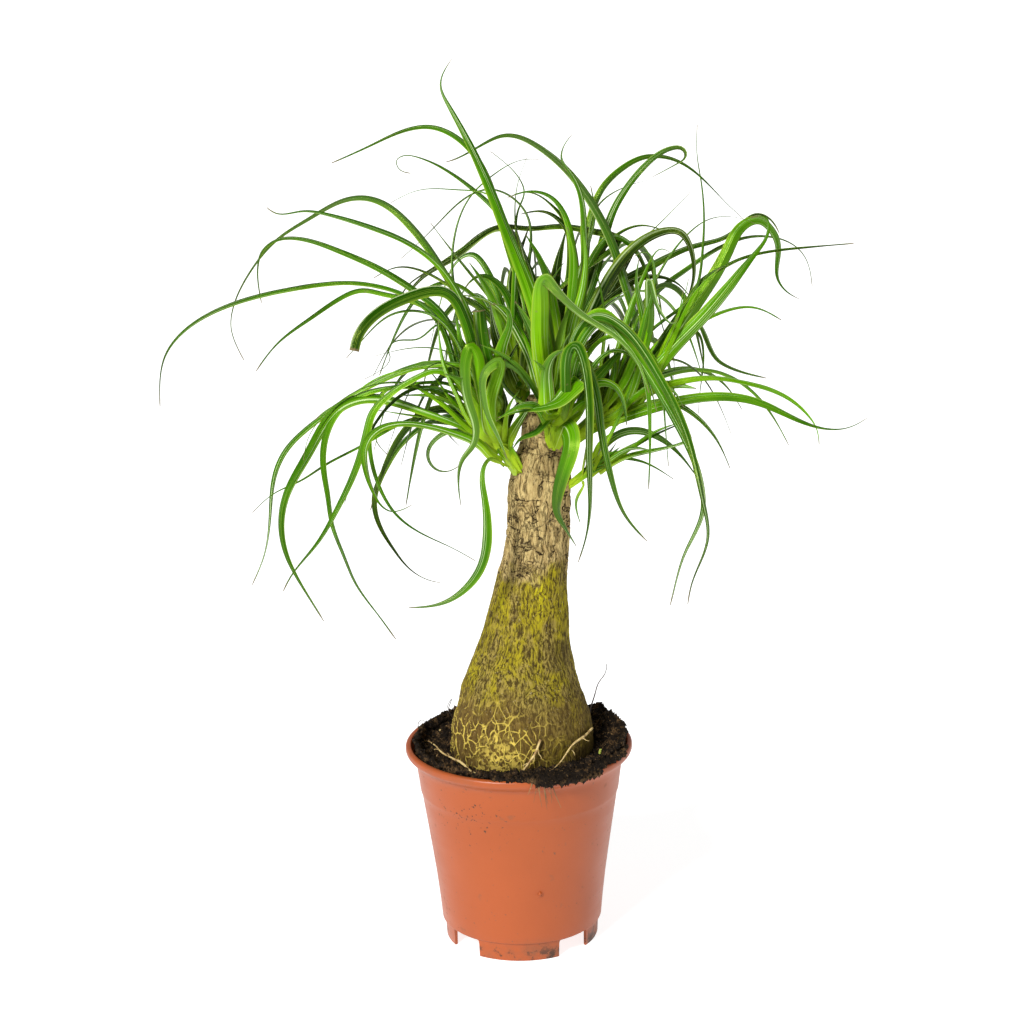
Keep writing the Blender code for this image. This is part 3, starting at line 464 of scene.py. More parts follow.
class Shape(Graph):
    """A Geometry Nodes tree with named inputs, run once on a guide mesh and turned into a plain mesh."""

    def __init__(self, name, **inputs):
        super().__init__(bpy.data.node_groups.new(name, "GeometryNodeTree"))
        for way in ("INPUT", "OUTPUT"):
            self.tree.interface.new_socket("Geometry", in_out=way, socket_type="NodeSocketGeometry")
        self.sockets = {}
        for label, value in inputs.items():
            kind = {int: "NodeSocketInt", float: "NodeSocketFloat"}.get(type(value), "NodeSocketMaterial")
            socket = self.tree.interface.new_socket(label, in_out="INPUT", socket_type=kind)
            self.sockets[label] = (socket.identifier, value)
        self.start = self.add("NodeGroupInput")
        self.place = self.add("GeometryNodeInputPosition")

    def given(self, label):
        return self.start.also(label)

    def store(self, geometry, name, value):
        sockets = {"Geometry": geometry, "Name": name, "Value": value}
        return self.add("GeometryNodeStoreNamedAttribute", {"data_type": "FLOAT", "domain": "POINT"}, sockets)

    def named(self, name, kind="FLOAT"):
        return self.add("GeometryNodeInputNamedAttribute", {"data_type": kind}, {"Name": name})

    def lines(self, facing=None):
        """The guide's edges as curves, with their sections turned to face one way where it is given."""
        curves = self.add("GeometryNodeMeshToCurve", None, {"Mesh": self.start})
        if facing is None:
            return curves
        return self.add("GeometryNodeSetCurveNormal", {"mode": "FREE"}, {"Curve": curves, "Normal": facing})

    def circle(self, points):
        """A circle of radius 1; points is the label of the input that says how many it has."""
        sockets = {"Resolution": self.given(points), "Radius": 1.0}
        return self.add("GeometryNodeCurvePrimitiveCircle", None, sockets)

    def swept(self, curves, outline, girth):
        """The outline drawn along the curves, as large as girth says, with its ends closed."""
        sockets = {"Curve": curves, "Profile Curve": outline, "Scale": girth, "Fill Caps": True}
        return self.add("GeometryNodeCurveToMesh", None, sockets)

    def moved(self, geometry, offset):
        return self.add("GeometryNodeSetPosition", None, {"Geometry": geometry, "Offset": offset})

    def moved_along(self, geometry, way, amount):
        """The geometry moved by an amount along a direction."""
        offset = self.add("ShaderNodeVectorMath", {"operation": "SCALE"}, {0: way, "Scale": amount})
        return self.moved(geometry, offset)

    def swollen(self, geometry, amount):
        """The geometry moved by an amount along its normals."""
        return self.moved_along(geometry, self.add("GeometryNodeInputNormal"), amount)

    def finish(self, geometry):
        """Ends the tree: instances made real, smooth faces and the material."""
        real = self.add("GeometryNodeRealizeInstances", None, {"Geometry": geometry})
        smooth = self.add("GeometryNodeSetShadeSmooth", None, {"Geometry": real})
        sockets = {"Geometry": smooth, "Material": self.given("Material")}
        self.add("NodeGroupOutput", None, {"Geometry": self.add("GeometryNodeSetMaterial", None, sockets)})
        return self

    def run(self, name, guide, **changed):
        """Evaluates the tree on the guide mesh and returns the result as a new object at the origin."""
        carrier = new_object(name + "_guide", guide)
        modifier = carrier.modifiers.new("shape", "NODES")
        modifier.node_group = self.tree
        for label, (identifier, value) in self.sockets.items():
            modifier[identifier] = changed.get(label, value)
        made = evaluated(carrier)
        bpy.data.objects.remove(carrier)
        bpy.data.meshes.remove(guide)
        if not made.polygons:
            raise RuntimeError(f"{name} came out empty")
        made.name = name
        return new_object(name, made)


# --- meshes and places ----------------------------------------------------------------------------


def new_object(name, data):
    """A new object at the origin, in the scene."""
    thing = bpy.data.objects.new(name, data)
    bpy.context.scene.collection.objects.link(thing)
    return thing


@contextmanager
def editing(mesh):
    """The mesh opened for modelling, and written back at the end."""
    bm = bmesh.new()
    bm.from_mesh(mesh)
    yield bm
    bm.to_mesh(mesh)
    bm.free()


def evaluated(thing):
    """The mesh that an object's modifiers make."""
    bpy.context.view_layer.update()
    graph = bpy.context.evaluated_depsgraph_get()
    return bpy.data.meshes.new_from_object(thing.evaluated_get(graph))


def set_attribute(mesh, name, values, kind="FLOAT"):
    """Gives each vertex of the mesh a value."""
    attribute = mesh.attributes.new(name, kind, "POINT")
    attribute.data.foreach_set("value" if kind == "FLOAT" else "vector", np.ravel(values).astype(np.float32))


def keep(piece, slot, *nodes):
    """Attaches a finished piece to the plant's one body, where it rides, and hides the framed nodes that it
    stands for.
    """
    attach(piece, BODY)
    if nodes:
        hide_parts(*nodes)


def surface_of(node):
    """A searchable copy of a framed node's surface."""
    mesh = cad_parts[node].data
    mesh.calc_loop_triangles()
    points = [vertex.co for vertex in mesh.vertices]
    return BVHTree.FromPolygons(points, [triangle.vertices for triangle in mesh.loop_triangles])


def height_at(surface, spot, otherwise):
    """The height of a surface's top at (x, y), or otherwise where there is none."""
    found = surface.ray_cast(Vector((*spot, ABOVE_THE_POT)), Vector((0, 0, -1)))[0]
    return found.z if found else otherwise


def corners_of(node):
    """The places of a framed node's vertices."""
    return np.array([vertex.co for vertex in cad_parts[node].data.vertices])


def longest_way(places):
    """The direction in which a cloud of points is longest."""
    return np.linalg.svd(places - places.mean(axis=0), full_matrices=False)[2][0]


def trunk_outline(step):
    """(height, centre x, radius) of the framed trunk, every step from its bottom to its top."""
    surface = surface_of("trunk")
    low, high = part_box("trunk")
    reach = high.x - low.x
    rows = []
    for height in np.arange(low.z + step / 2, high.z - step / 4, step):
        left = surface.ray_cast(Vector((low.x - reach, 0, height)), Vector((1, 0, 0)))[0]
        right = surface.ray_cast(Vector((high.x + reach, 0, height)), Vector((-1, 0, 0)))[0]
        if left and right:
            rows.append((height, (left.x + right.x) / 2, (right.x - left.x) / 2))
    return np.array(rows)


def smooth_through(points, spacing):
    """Points about spacing apart on the natural cubic spline through these, by length along the chords."""
    points = np.array(points, float)
    knots = lengths_along(points[:, :3])
    gaps = np.diff(knots)
    count = len(points)
    system = np.eye(count)
    slopes = np.zeros_like(points)
    for i in range(1, count - 1):
        system[i, i - 1 : i + 2] = gaps[i - 1], 2 * (gaps[i - 1] + gaps[i]), gaps[i]
        slopes[i] = 6 * ((points[i + 1] - points[i]) / gaps[i] - (points[i] - points[i - 1]) / gaps[i - 1])
    bend = np.linalg.solve(system, slopes)
    at = np.linspace(0, knots[-1], max(6, int(knots[-1] / spacing)))
    i = np.clip(np.searchsorted(knots, at, side="right") - 1, 0, count - 2)
    gap = gaps[i][:, None]
    before, after = (at - knots[i])[:, None], (knots[i + 1] - at)[:, None]
    return (
        (bend[i] * after**3 + bend[i + 1] * before**3) / (6 * gap)
        + (points[i] / gap - bend[i] * gap / 6) * after
        + (points[i + 1] / gap - bend[i + 1] * gap / 6) * before
    )


def lengths_along(points):
    """The length of a line through these points up to each of them."""
    return np.concatenate([[0], np.cumsum(np.linalg.norm(np.diff(points, axis=0), axis=1))])


def spread_out(values, shares):
    """Values evenly spaced from 0 to 1, read off at these shares of the way."""
    return np.interp(shares, np.linspace(0, 1, len(values)), values)


def unit(vectors):
    return vectors / np.maximum(np.linalg.norm(vectors, axis=-1, keepdims=True), 1e-9)


def square_to(vectors, ahead):
    """The vectors without what they have along ahead."""
    return vectors - ahead * (vectors * ahead).sum(axis=1)[:, None]


def turned_about(sides, ahead, turn):
    """The sides turned about ahead by an angle each."""
    turn = turn[:, None]
    return sides * np.cos(turn) + np.cross(ahead, sides) * np.sin(turn)


def level_ways(turn):
    """The level direction at this angle from +X, and the one at its left."""
    out = np.array([math.cos(turn), math.sin(turn), 0])
    return out, np.array([-out[1], out[0], 0])


def around(stem, angle):
    """The direction at this angle around a stem."""
    flat = unit(np.cross(stem, np.array([0.0, 1.0, 0.0])))
    return flat * math.cos(angle) + np.cross(stem, flat) * math.sin(angle)


class Guide:
    """Lines for a Geometry Nodes tree to follow; each point has a value for every label."""

    labels = ()

    def __init__(self):
        self.points, self.edges, self.rows = [], [], []

    def add_line(self, line, *columns):
        """Adds a line; a column is one value for each of its points, or one for them all."""
        first, count = len(self.points), len(line)
        self.points.extend(line)
        self.edges.extend((first + i, first + i + 1) for i in range(count - 1))
        self.rows.extend(np.column_stack([np.broadcast_to(column, count) for column in columns]))

    def mesh(self, name):
        mesh = bpy.data.meshes.new(name)
        mesh.from_pydata([tuple(point) for point in self.points], self.edges, [])
        for label, column in zip(self.labels, np.array(self.rows).T):
            set_attribute(mesh, label, column)
        return mesh


# --- leaves ---------------------------------------------------------------------------------------


def rings_of(node):
    """The framed leaf's sections from one end to the other, four points each, as an array of sections."""
    bm = bmesh.new()
    bm.from_mesh(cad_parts[node].data)
    bmesh.ops.remove_doubles(bm, verts=bm.verts, dist=1e-6)
    bm.verts.ensure_lookup_table()
    places = np.array([vertex.co for vertex in bm.verts])
    near = [{edge.other_vert(vertex).index for edge in vertex.link_edges} for vertex in bm.verts]
    pairs = [{v.index for face in edge.link_faces for v in face.verts} for edge in bm.edges]
    bm.free()
    for start in pairs:
        levels, seen = [start], set(start)
        while levels[-1]:
            following = set().union(*(near[i] for i in levels[-1])) - seen
            seen |= following
            levels.append(following)
        if all(len(level) == 4 for level in levels[:-1]) and len(levels) - 1 == len(places) // 4:
            return np.array([places[sorted(level)] for level in levels[:-1]])
    raise RuntimeError(f"{node} isn't a row of four-point sections")


def framed_blade(node, shoot_top):
    """(midrib, half width) of a framed leaf, from its shoot to its tip."""
    rings = rings_of(node)
    if np.linalg.norm(rings[0].mean(axis=0) - shoot_top) > np.linalg.norm(rings[-1].mean(axis=0) - shoot_top):
        rings = rings[::-1]
    midrib, half = [], []
    for ring in rings:
        apart = np.linalg.norm(ring[:, None] - ring[None], axis=2)
        a, b = np.unravel_index(apart.argmax(), apart.shape)
        midrib.append(ring[[k for k in range(4) if k not in (a, b)]].mean(axis=0))
        half.append(apart[a, b] / 2)
    return np.array(midrib), np.array(half)


class Leaves(Guide):
    """Guide lines for blades: each point holds its facing, half width and look."""

    labels = ("half", "reach", "along", "tone", "fold", "cut", "own", "dull")

    def __init__(self):
        super().__init__()
        self.facings = []

    def add(self, midrib, side, half, tone, fold, cut, number, dull=0.0):
        """Adds a blade along a midrib that is already smooth and evenly spaced."""
        ahead = unit(np.gradient(midrib, axis=0))
        self.facings.extend(np.cross(unit(square_to(side, ahead)), ahead))
        length = lengths_along(midrib)
        self.add_line(midrib, half, length, length / length[-1], tone, fold, cut, number * 0.137, dull)

    def mesh(self, name):
        mesh = super().mesh(name)
        set_attribute(mesh, "facing", self.facings, "FLOAT_VECTOR")
        return mesh


def blade_shape(settings, finish):
    """The tree that draws a channelled blade along each guide line."""
    given = {"Sides": settings.sides, "Thickness": settings.thickness, "Ripple": settings.ripple}
    shape = Shape("leaf_blade", **given, Material=finish)
    facing = shape.named("facing", "FLOAT_VECTOR")
    across, half = shape.named("across"), shape.named("half")
    edge = abs(across)
    spot = shape.separate(shape.place)
    outline = shape.store(shape.circle("Sides"), "across", spot * abs(spot) ** 0.3)
    outline = shape.store(outline, "upper", spot.also("Y"))
    flat = shape.combine(shape.named("upper") * shape.given("Thickness"), across, 0.0)
    outline = shape.add("GeometryNodeSetPosition", None, {"Geometry": outline, "Position": flat})
    blade = shape.swept(shape.lines(facing), outline, half)
    drop = half * shape.named("fold") * edge ** 1.1
    swing = shape.combine(shape.named("reach") * 70, across * 0.8, shape.named("own") * 50)
    ripple = (shape.noise(swing, 1.0, 1.0) - 0.5) * shape.given("Ripple") * half * edge
    blade = shape.moved_along(blade, facing, ripple - drop)
    for creased in (edge.maths("GREATER_THAN", 0.98), edge.maths("LESS_THAN", 0.02)):
        sockets = {"Geometry": blade, "Selection": creased, "Shade Smooth": False}
        blade = shape.add("GeometryNodeSetShadeSmooth", {"domain": "EDGE"}, sockets)
    return shape.finish(blade)


def make_leaf_finish(settings):
    finish = Finish("ponytail_leaf")
    along, across, reach = finish.read("along"), finish.read("across"), finish.read("reach")
    tone, own, cut = finish.read("tone"), finish.read("own"), finish.read("cut")
    below = finish.read("upper").between(-0.05, -0.25)
    patchy = finish.noise(finish.place, 26.0, 2.0) - 0.5
    drift = finish.noise(finish.combine(own * 40, reach * 22, 0.0), 1.0, 2.0) - 0.5
    age = (tone + (along - 0.35) * 0.40 + patchy * 0.30 + drift * 0.5).clamped()
    green = finish.add("ShaderNodeValToRGB", {"stops": (
        (0.0, settings.young), (0.30, settings.bright), (0.62, settings.mid), (1.0, settings.old),
    )}, {"Fac": age})
    # painted shade: the green that the shaded half of a blade is darkened to
    shade_green = finish.mix(0.68, green, settings.old)
    clasp = reach.between(0.032, 0.0) * along.between(0.70, 0.10)
    strands = finish.noise(finish.combine(across * 8, reach * 12, own * 31), 1.0, 3.0, 0.7)
    fine = finish.noise(finish.combine(across * 24, reach * 18, own * 17), 1.0, 2.0, 0.6)
    highlight_streaks = finish.noise(finish.combine(across * 5, reach * 7, own * 43), 1.0, 2.0, 0.5)
    specks = finish.noise(finish.place, 300.0, 1.0)
    ragged = finish.noise(finish.combine(across * 3, own * 23, reach * 40), 1.0, 2.0) * 0.02
    tip = (along + ragged).between(0.965, 1.01)
    cut_end = (along + ragged * 0.4).between(0.992, 1.0)
    dried = (tip * (1 - cut) + cut_end * cut).clamped()
    colour = finish.layered(
        green,
        # painted shade: one half of the blade is darkened, as if it lay further in shade
        (across.between(-0.03, 0.06) * 0.42, shade_green),
        # painted light: the other half of the blade is made paler, as if lit
        (across.between(-0.45, -0.95) * 0.28, settings.pale),
        ((strands - 0.5).between(0.04, 0.22) * 0.30, settings.pale),
        # darker strands at random, in the painted shade green
        ((0.5 - fine).between(0.0, 0.14) * 0.60, shade_green),
        # a paler line along the channel
        (abs(across).between(0.08, 0.02) * 0.16, settings.pale),
        (finish.read("dull") * 0.75, settings.under),
        # painted highlight: pale stripes along the blades stand in for gloss that catches the light
        ((highlight_streaks - 0.5).between(0.08, 0.20) * 0.72, settings.painted_sheen),
        (clasp * 0.75, settings.clasp),
        (across.between(0.86, 0.97) * (1 - clasp) * 0.65, settings.seared),
        (across.between(-0.88, -0.97) * 0.60, settings.rim),
        (below * 0.38, settings.under),
        (specks.between(0.72, 0.78) * 0.30, settings.dry),
        (dried, settings.dry),
    )
    gloss = 0.27 + (strands - 0.5) * 0.25 + dried * 0.35 + below * 0.16
    finish.set(Base_Color=colour, Roughness=gloss.clamped(), Specular_IOR_Level=0.30)
    finish.set(Specular_Tint=(0.80, 1.0, 0.15, 1.0))
    finish.bump(strands * 0.7 + fine * 0.4, 0.0003, 0.7)
    return finish.material


def shoot_axis(shoot):
    """(bottom, top) of a shoot's stem in the frame, by its longest direction."""
    places = corners_of(f"{shoot}_shoot")
    centre, way = places.mean(axis=0), longest_way(places)
    way = way if way[2] > 0 else -way
    reach = (places - centre) @ way
    return centre + way * reach.min(), centre + way * reach.max()


def sharpened(half, length, cut):
    """The half widths with the last stretch drawn out to a thread, or as they are where the leaf was cut."""
    if cut:
        return half
    taper = max(LONG_TAPER, BROAD_TAPER * half.max() / length[-1])
    return np.minimum(half, THREAD + (length[-1] - length) * taper)


def turned_to_light(midrib, twist, sway):
    """The blade's side at each point of its midrib: it faces up and to the front, and sways to and fro."""
    ahead = unit(np.gradient(midrib, axis=0))
    aim = unit(unit(np.array(CAMERA_PLACE) - midrib) + np.array([0.0, 0.0, 0.55]))
    beside = 4  # neighbours on either side that a facing is evened out with
    spread = np.ones(2 * beside + 1) / (2 * beside + 1)
    padded = np.pad(square_to(aim, ahead), ((beside, beside), (0, 0)), mode="edge")
    facing = np.column_stack([np.convolve(padded[:, k], spread, mode="valid") for k in range(3)])
    facing = unit(square_to(facing, ahead))
    gone = np.linspace(0, 2.5 * math.pi, len(midrib))
    turn = twist + sway * np.sin(gone * (0.6 + abs(twist)) + twist * 7)
    return turned_about(np.cross(ahead, facing), ahead, turn)


def frames_along(midrib, side, twist):
    """The blade's side at each point of its midrib, carried along without turning and then twisted evenly."""
    ahead = unit(np.gradient(midrib, axis=0))
    sides = np.empty_like(midrib)
    for i, way in enumerate(ahead):
        side = side - way * (side @ way)
        side = side / np.linalg.norm(side)
        sides[i] = side
    return turned_about(sides, ahead, np.linspace(0, twist, len(midrib)))


def lined_up(across, height, depth):
    """The point at this depth that the camera lines up with (across, height) on the plane of the axis."""
    spread = (depth * MM - CAMERA_PLACE.y) / -CAMERA_PLACE.y
    x = CAMERA_PLACE.x + (across * MM - CAMERA_PLACE.x) * spread
    z = CAMERA_PLACE.z + (height * MM - CAMERA_PLACE.z) * spread
    return np.array([x, depth * MM, z])


def grown_widths(length, width):
    """Half widths of a leaf of this width: wider where it clasps the stem, and narrowing to its tip."""
    share = length / length[-1]
    body = np.maximum(0.16, (1 - share**2.2)) ** 0.9
    clasp = 1 + 0.25 * np.clip(1 - length / (20 * MM), 0, 1)
    return width * MM / 2 * body * clasp


def add_grown(leaves, bottom, route, width, tone, fold, number, chance, shown=False):
    """Adds a leaf that grows from a stem through these points; a shown one turns its face to the light."""
    midrib = smooth_through(route, 2.5 * MM)
    twist = math.radians(chance.uniform(-38, 38))
    if shown:
        sides = turned_to_light(midrib, twist * 0.6, math.radians(28))
    else:
        side = np.cross(unit(route[0] - bottom), midrib[3] - midrib[0])
        if np.linalg.norm(side) < 1e-6:
            side = np.array([1.0, 0.0, 0.0])
        sides = frames_along(midrib, unit(side), twist)
    length = lengths_along(midrib)
    half = sharpened(grown_widths(length, width), length, False)
    tone, dull = tone if isinstance(tone, tuple) else (tone, 0.0)
    dull = dull * np.interp(length / length[-1], (0.42, 0.60), (0, 1))
    leaves.add(midrib, sides, half, tone, fold, False, number, dull)


def thin_leaves_of(shoot, leaves, chance):
    """Adds the leaves that THIN_LEAVES lists for a shoot."""
    bottom, top = shoot_axis(shoot)
    for number, (width, tone, depths, seen) in enumerate(THIN_LEAVES[shoot]):
        seat = bottom + (top - bottom) * chance.uniform(0.55, 1.0)
        gone = lengths_along(np.array(seen, float))
        depth = spread_out(depths, gone / gone[-1])
        places = [lined_up(x, z, y) for (x, z), y in zip(seen, depth)]
        while len(places) > 2:
            away = places[0] - seat
            if np.linalg.norm(away) > 6 * MM and away @ unit(places[1] - places[0]) > 0:
                break
            places.pop(0)
        fold = chance.uniform(0.3, 0.6)
        add_grown(leaves, bottom, np.array([seat, *places]), width, tone, fold, number, chance, shown=True)


def arched(seat, heading, rise, reach, droop, lean):
    """A route that climbs from its seat, arches over and falls; lean curls it sideways."""
    out, across = level_ways(heading)
    route = []
    for share in np.linspace(0, 1, 7):
        forward = reach * (share - 0.12 * share**3)
        upward = rise * math.sin(math.pi * min(1.0, share * 0.9)) ** 0.8 - droop * share**2.6
        route.append(seat + out * forward + across * lean * share**2 + np.array([0, 0, upward]))
    return np.array(route)


def rear_leaves_of(shoot, leaves, chance):
    """Adds the leaves that arch away behind the shoot."""
    count, low, high = REAR_FANS[shoot]
    bottom, top = shoot_axis(shoot)
    for number in range(count):
        heading = math.radians(low + (high - low) * (number + chance.uniform(0.1, 0.9)) / count)
        seat = bottom + (top - bottom) * chance.uniform(0.45, 1.0)
        reach = chance.uniform(60, 130) * MM
        rise = chance.uniform(30, 85) * MM
        route = arched(seat, heading, rise, reach, chance.uniform(5, 55) * MM, chance.uniform(-26, 26) * MM)
        furthest = route[:, 1].max()
        room = BACK_LIMIT - furthest
        if room < 0:
            route[:, 1] = seat[1] + (route[:, 1] - seat[1]) * (1 + room / (furthest - seat[1]))
        width = chance.uniform(3.0, 7.0)
        add_grown(leaves, bottom, route, width, chance.uniform(0.3, 0.9), 0.5, number + 60, chance)


def heart_leaves_of(shoot, leaves, chance):
    """Adds the young leaves that stand up close together in a shoot's heart."""
    count = HEART_LEAVES.get(shoot, 8)
    bottom, top = shoot_axis(shoot)
    stem = unit(top - bottom)
    up = unit(stem + np.array([0, 0, 0.7]))
    girth = SHOOT_GIRTHS.get(shoot, 1.0)
    for number in range(count):
        out = around(stem, number * NEXT_LEAF_TURN + chance.uniform(-0.3, 0.3))
        inner = number / count
        length = (34 + 42 * chance.uniform(0, 1)) * MM
        spread = (0.55 - 0.40 * inner) * length
        seat = bottom + (top - bottom) * (0.55 + 0.45 * inner) + out * 1.6 * MM
        bends = ((0, 0), (0.35, 0.30), (0.70, 0.70), (0.92, 1.25))
        route = np.array([seat + up * length * rise + out * spread * lean for rise, lean in bends])
        tone = 0.02 + 0.35 * chance.uniform(0, 1) + (1 - girth) * 0.6
        width = chance.uniform(7.0, 10.5) * girth
        add_grown(leaves, bottom, route, width, tone, 0.5, number + 90, chance)


# --- settings -------------------------------------------------------------------------------------


def colour_setting(name, description, default):
    return FloatVectorProperty(
        name=name, description=description, subtype="COLOR", size=3, min=0, max=1, default=default
    )


class PalmLeafSettings(bpy.types.PropertyGroup):
    sides: IntProperty(name="Sides", description="Points around a blade's section", default=16, min=8)
    thickness: FloatProperty(name="Thickness", description="Against the half width", default=0.045, min=0.01)
    ripple: FloatProperty(name="Ripple", description="Waviness of the margins", default=0.35, min=0)
    young: colour_setting("Young", "Youngest green", (0.30, 0.54, 0.003))
    bright: colour_setting("Bright", "Green of a lit leaf", (0.125, 0.370, 0.0003))
    mid: colour_setting("Middle", "Green of a grown leaf", (0.028, 0.148, 0.0002))
    old: colour_setting("Old", "Darkest green", (0.003, 0.022, 0.0001))
    clasp: colour_setting("Clasp", "Pale base of a leaf", (0.37, 0.52, 0.020))
    # Pale also paints the lit half of each blade: painted light
    pale: colour_setting("Pale", "Lighter strands", (0.42, 0.62, 0.060))
    # painted highlight: the colour of the pale stripes that stand in for gloss
    painted_sheen: colour_setting("Sheen", "Streaks that catch the light", (0.68, 0.86, 0.42))
    rim: colour_setting("Margin", "Thin pale margin", (0.34, 0.46, 0.020))
    under: colour_setting("Underside", "Duller underside", (0.085, 0.155, 0.035))
    seared: colour_setting("Seared margin", "Dark reddish margin", (0.085, 0.050, 0.010))
    dry: colour_setting("Dry", "Dried tips and cuts", (0.17, 0.125, 0.065))


class PalmPotSettings(bpy.types.PropertyGroup):
    steps: IntProperty(name="Steps", description="Faces around the pot", default=192, min=48)
    wall: FloatProperty(name="Wall", description="Wall thickness", default=1.4 * MM, unit="LENGTH")
    colour: colour_setting("Colour", "Moulded plastic", (0.383, 0.078, 0.014))
    worn: colour_setting("Dust", "Soil dust on the plastic", (0.16, 0.075, 0.040))
    mud: colour_setting("Mud", "Dried mud at the foot and its splashes", (0.040, 0.022, 0.012))


class PalmSoilSettings(bpy.types.PropertyGroup):
    crumbs: IntProperty(name="Crumbs", description="Loose crumbs on the soil", default=20500, min=0)
    fibres: IntProperty(name="Fibres", description="Loose fibres on the soil", default=170, min=0)
    dark: colour_setting("Dark", "Damp peat", (0.010, 0.006, 0.003))
    light: colour_setting("Light", "Dry peat", (0.150, 0.085, 0.034))
    fibre: colour_setting("Fibre", "Coir and bark fibres", (0.30, 0.18, 0.07))


class PalmTrunkSettings(bpy.types.PropertyGroup):
    around: IntProperty(name="Around", description="Faces around the trunk", default=300, min=64)
    step: FloatProperty(name="Step", description="Height of a face", default=0.85 * MM, unit="LENGTH")
    cork: colour_setting("Cork", "Raised corky seams", (0.80, 0.60, 0.11))
    plate: colour_setting("Plate", "Weathered bark plates", (0.150, 0.088, 0.022))
    skin: colour_setting("Skin", "Dry skin of the bulb", (0.33, 0.25, 0.055))
    shade: colour_setting("Shade", "Furrows of the skin", (0.060, 0.040, 0.009))
    algae: colour_setting("Algae", "Yellow-green film", (0.34, 0.28, 0.004))
    bloom: colour_setting("Algae bloom", "Brightest algae", (0.56, 0.50, 0.012))
    stem: colour_setting("Stem", "Upper bark", (0.60, 0.455, 0.190))
    flake: colour_setting("Flake", "Darker flakes of the upper bark", (0.34, 0.235, 0.090))
    flake_light: colour_setting("Light flake", "Palest flakes", (0.62, 0.52, 0.30))
    # painted shade: the dark colour laid in the bark's cracks
    crack: colour_setting("Crack", "Depth of a crack", (0.030, 0.018, 0.008))


class PalmStageSettings(bpy.types.PropertyGroup):
    floor: colour_setting("Floor", "Studio floor", (0.52, 0.52, 0.52))
    glow: FloatProperty(name="Glow", description="Light that the floor gives off", default=0.84, min=0)
    low: FloatProperty(name="Horizon", description="Strength of the light from low down", default=0.50, min=0)
    high: FloatProperty(name="Overhead", description="Strength of the light from above", default=0.22, min=0)
    key: FloatProperty(name="Key", description="Strength of the soft sun", default=3.6, min=0)


SETTINGS = {
    "palm_leaf": PalmLeafSettings,
    "palm_pot": PalmPotSettings,
    "palm_soil": PalmSoilSettings,
    "palm_trunk": PalmTrunkSettings,
    "palm_stage": PalmStageSettings,
}


# --- the pot --------------------------------------------------------------------------------------


def arc(centre, radius, start, end, count):
    """Points of an arc in the plane of the profile, from one angle to another in degrees."""
    angles = np.radians(np.linspace(start, end, count))
    return [(centre[0] + radius * math.cos(a), centre[1] + radius * math.sin(a)) for a in angles]


def inner_radius(height):
    """The radius of the pot's inner wall at a height."""
    heights, radii = zip(*INNER_WALL)
    return float(np.interp(height / MM, heights, radii)) * MM


def pot_profile(wall):
    """The pot's closed section, (radius, height) in millimetres, from its floor's middle round and back."""
    top, rim = POT_HEIGHT / MM, POT_RADIUS / MM
    foot, floor = rim * 0.6786, 12.0
    thick = wall / MM
    outside = [
        (0, floor), (foot * 0.5, floor), (foot - 3.2, floor), *arc((foot - 3.0, floor - 1), 1, 90, 0, 4),
        (foot - 2.0, 6), (foot - 2.0, 0.5), *arc((foot - 1.5, 0.5), 0.5, 180, 270, 3),
        *arc((foot - 0.5, 0.5), 0.5, 270, 360, 3), (foot + 0.4, floor - 3), (foot + 0.7, floor - 0.7),
        *arc((foot + 1.7, floor + 0.9), 0.7, 230, 360, 5), (foot + 3.4, 24), (foot + 5.4, 42),
        (foot + 7.6, 58), (foot + 10.2, 76), (foot + 12.6, 92), (foot + 13.2, 96), (foot + 13.9, 97.4),
        (foot + 14.1, 98.6),
        (foot + 14.7, 104), (foot + 15.5, 110), (foot + 16.0, 114),
    ]
    lip = [
        (foot + 16.5, 116.4), (foot + 17.3, 118.0), (foot + 18.5, 119.3),
        (rim - 2.5, 120.3), (rim - 1.2, 121.2),
        (rim - 0.4, 122.2), (rim, 123.3), (rim, 124.1), *arc((rim - 1.8, top - 1.8), 1.8, 10, 90, 6),
        (rim - 2.2, top), *arc((rim - 2.6, top - 0.8), 0.8, 90, 175, 4), (rim - 4.2, top - 2.6),
    ]
    inside = [(inner_radius(z * MM) / MM, z) for z in (123, 120, 117, 112, 104, 92, 76, 58, 42, 28, 18)]
    corner = arc((inner_radius(16 * MM) / MM - 2.0, floor + thick + 2.0), 2.0, 0, -90, 5)
    return [*outside, *lip, *inside, *corner, (0, floor + thick)]


def turned_mesh(name, profile, steps):
    """A closed section turned about the Z axis; its two ends lie on the axis."""
    mesh = bpy.data.meshes.new(name)
    with editing(mesh) as bm:
        line = [bm.verts.new((r * MM, 0, z * MM)) for r, z in profile]
        edges = [bm.edges.new(pair) for pair in zip(line, line[1:])]
        turn = {"cent": (0, 0, 0), "axis": (0, 0, 1), "angle": 2 * math.pi}
        bmesh.ops.spin(bm, geom=line + edges, steps=steps, use_merge=True, **turn)
        bmesh.ops.remove_doubles(bm, verts=bm.verts, dist=1e-6)
        bmesh.ops.recalc_face_normals(bm, faces=bm.faces)
    return mesh


def rounded_block(size, radius):
    """A block with rounded edges, for cutting."""
    mesh = bpy.data.meshes.new("block")
    with editing(mesh) as bm:
        bmesh.ops.create_cube(bm, size=1)
        bmesh.ops.scale(bm, vec=size, verts=bm.verts)
        bmesh.ops.bevel(bm, geom=bm.edges, offset=radius, segments=3, affect="EDGES", profile=0.5)
    return mesh


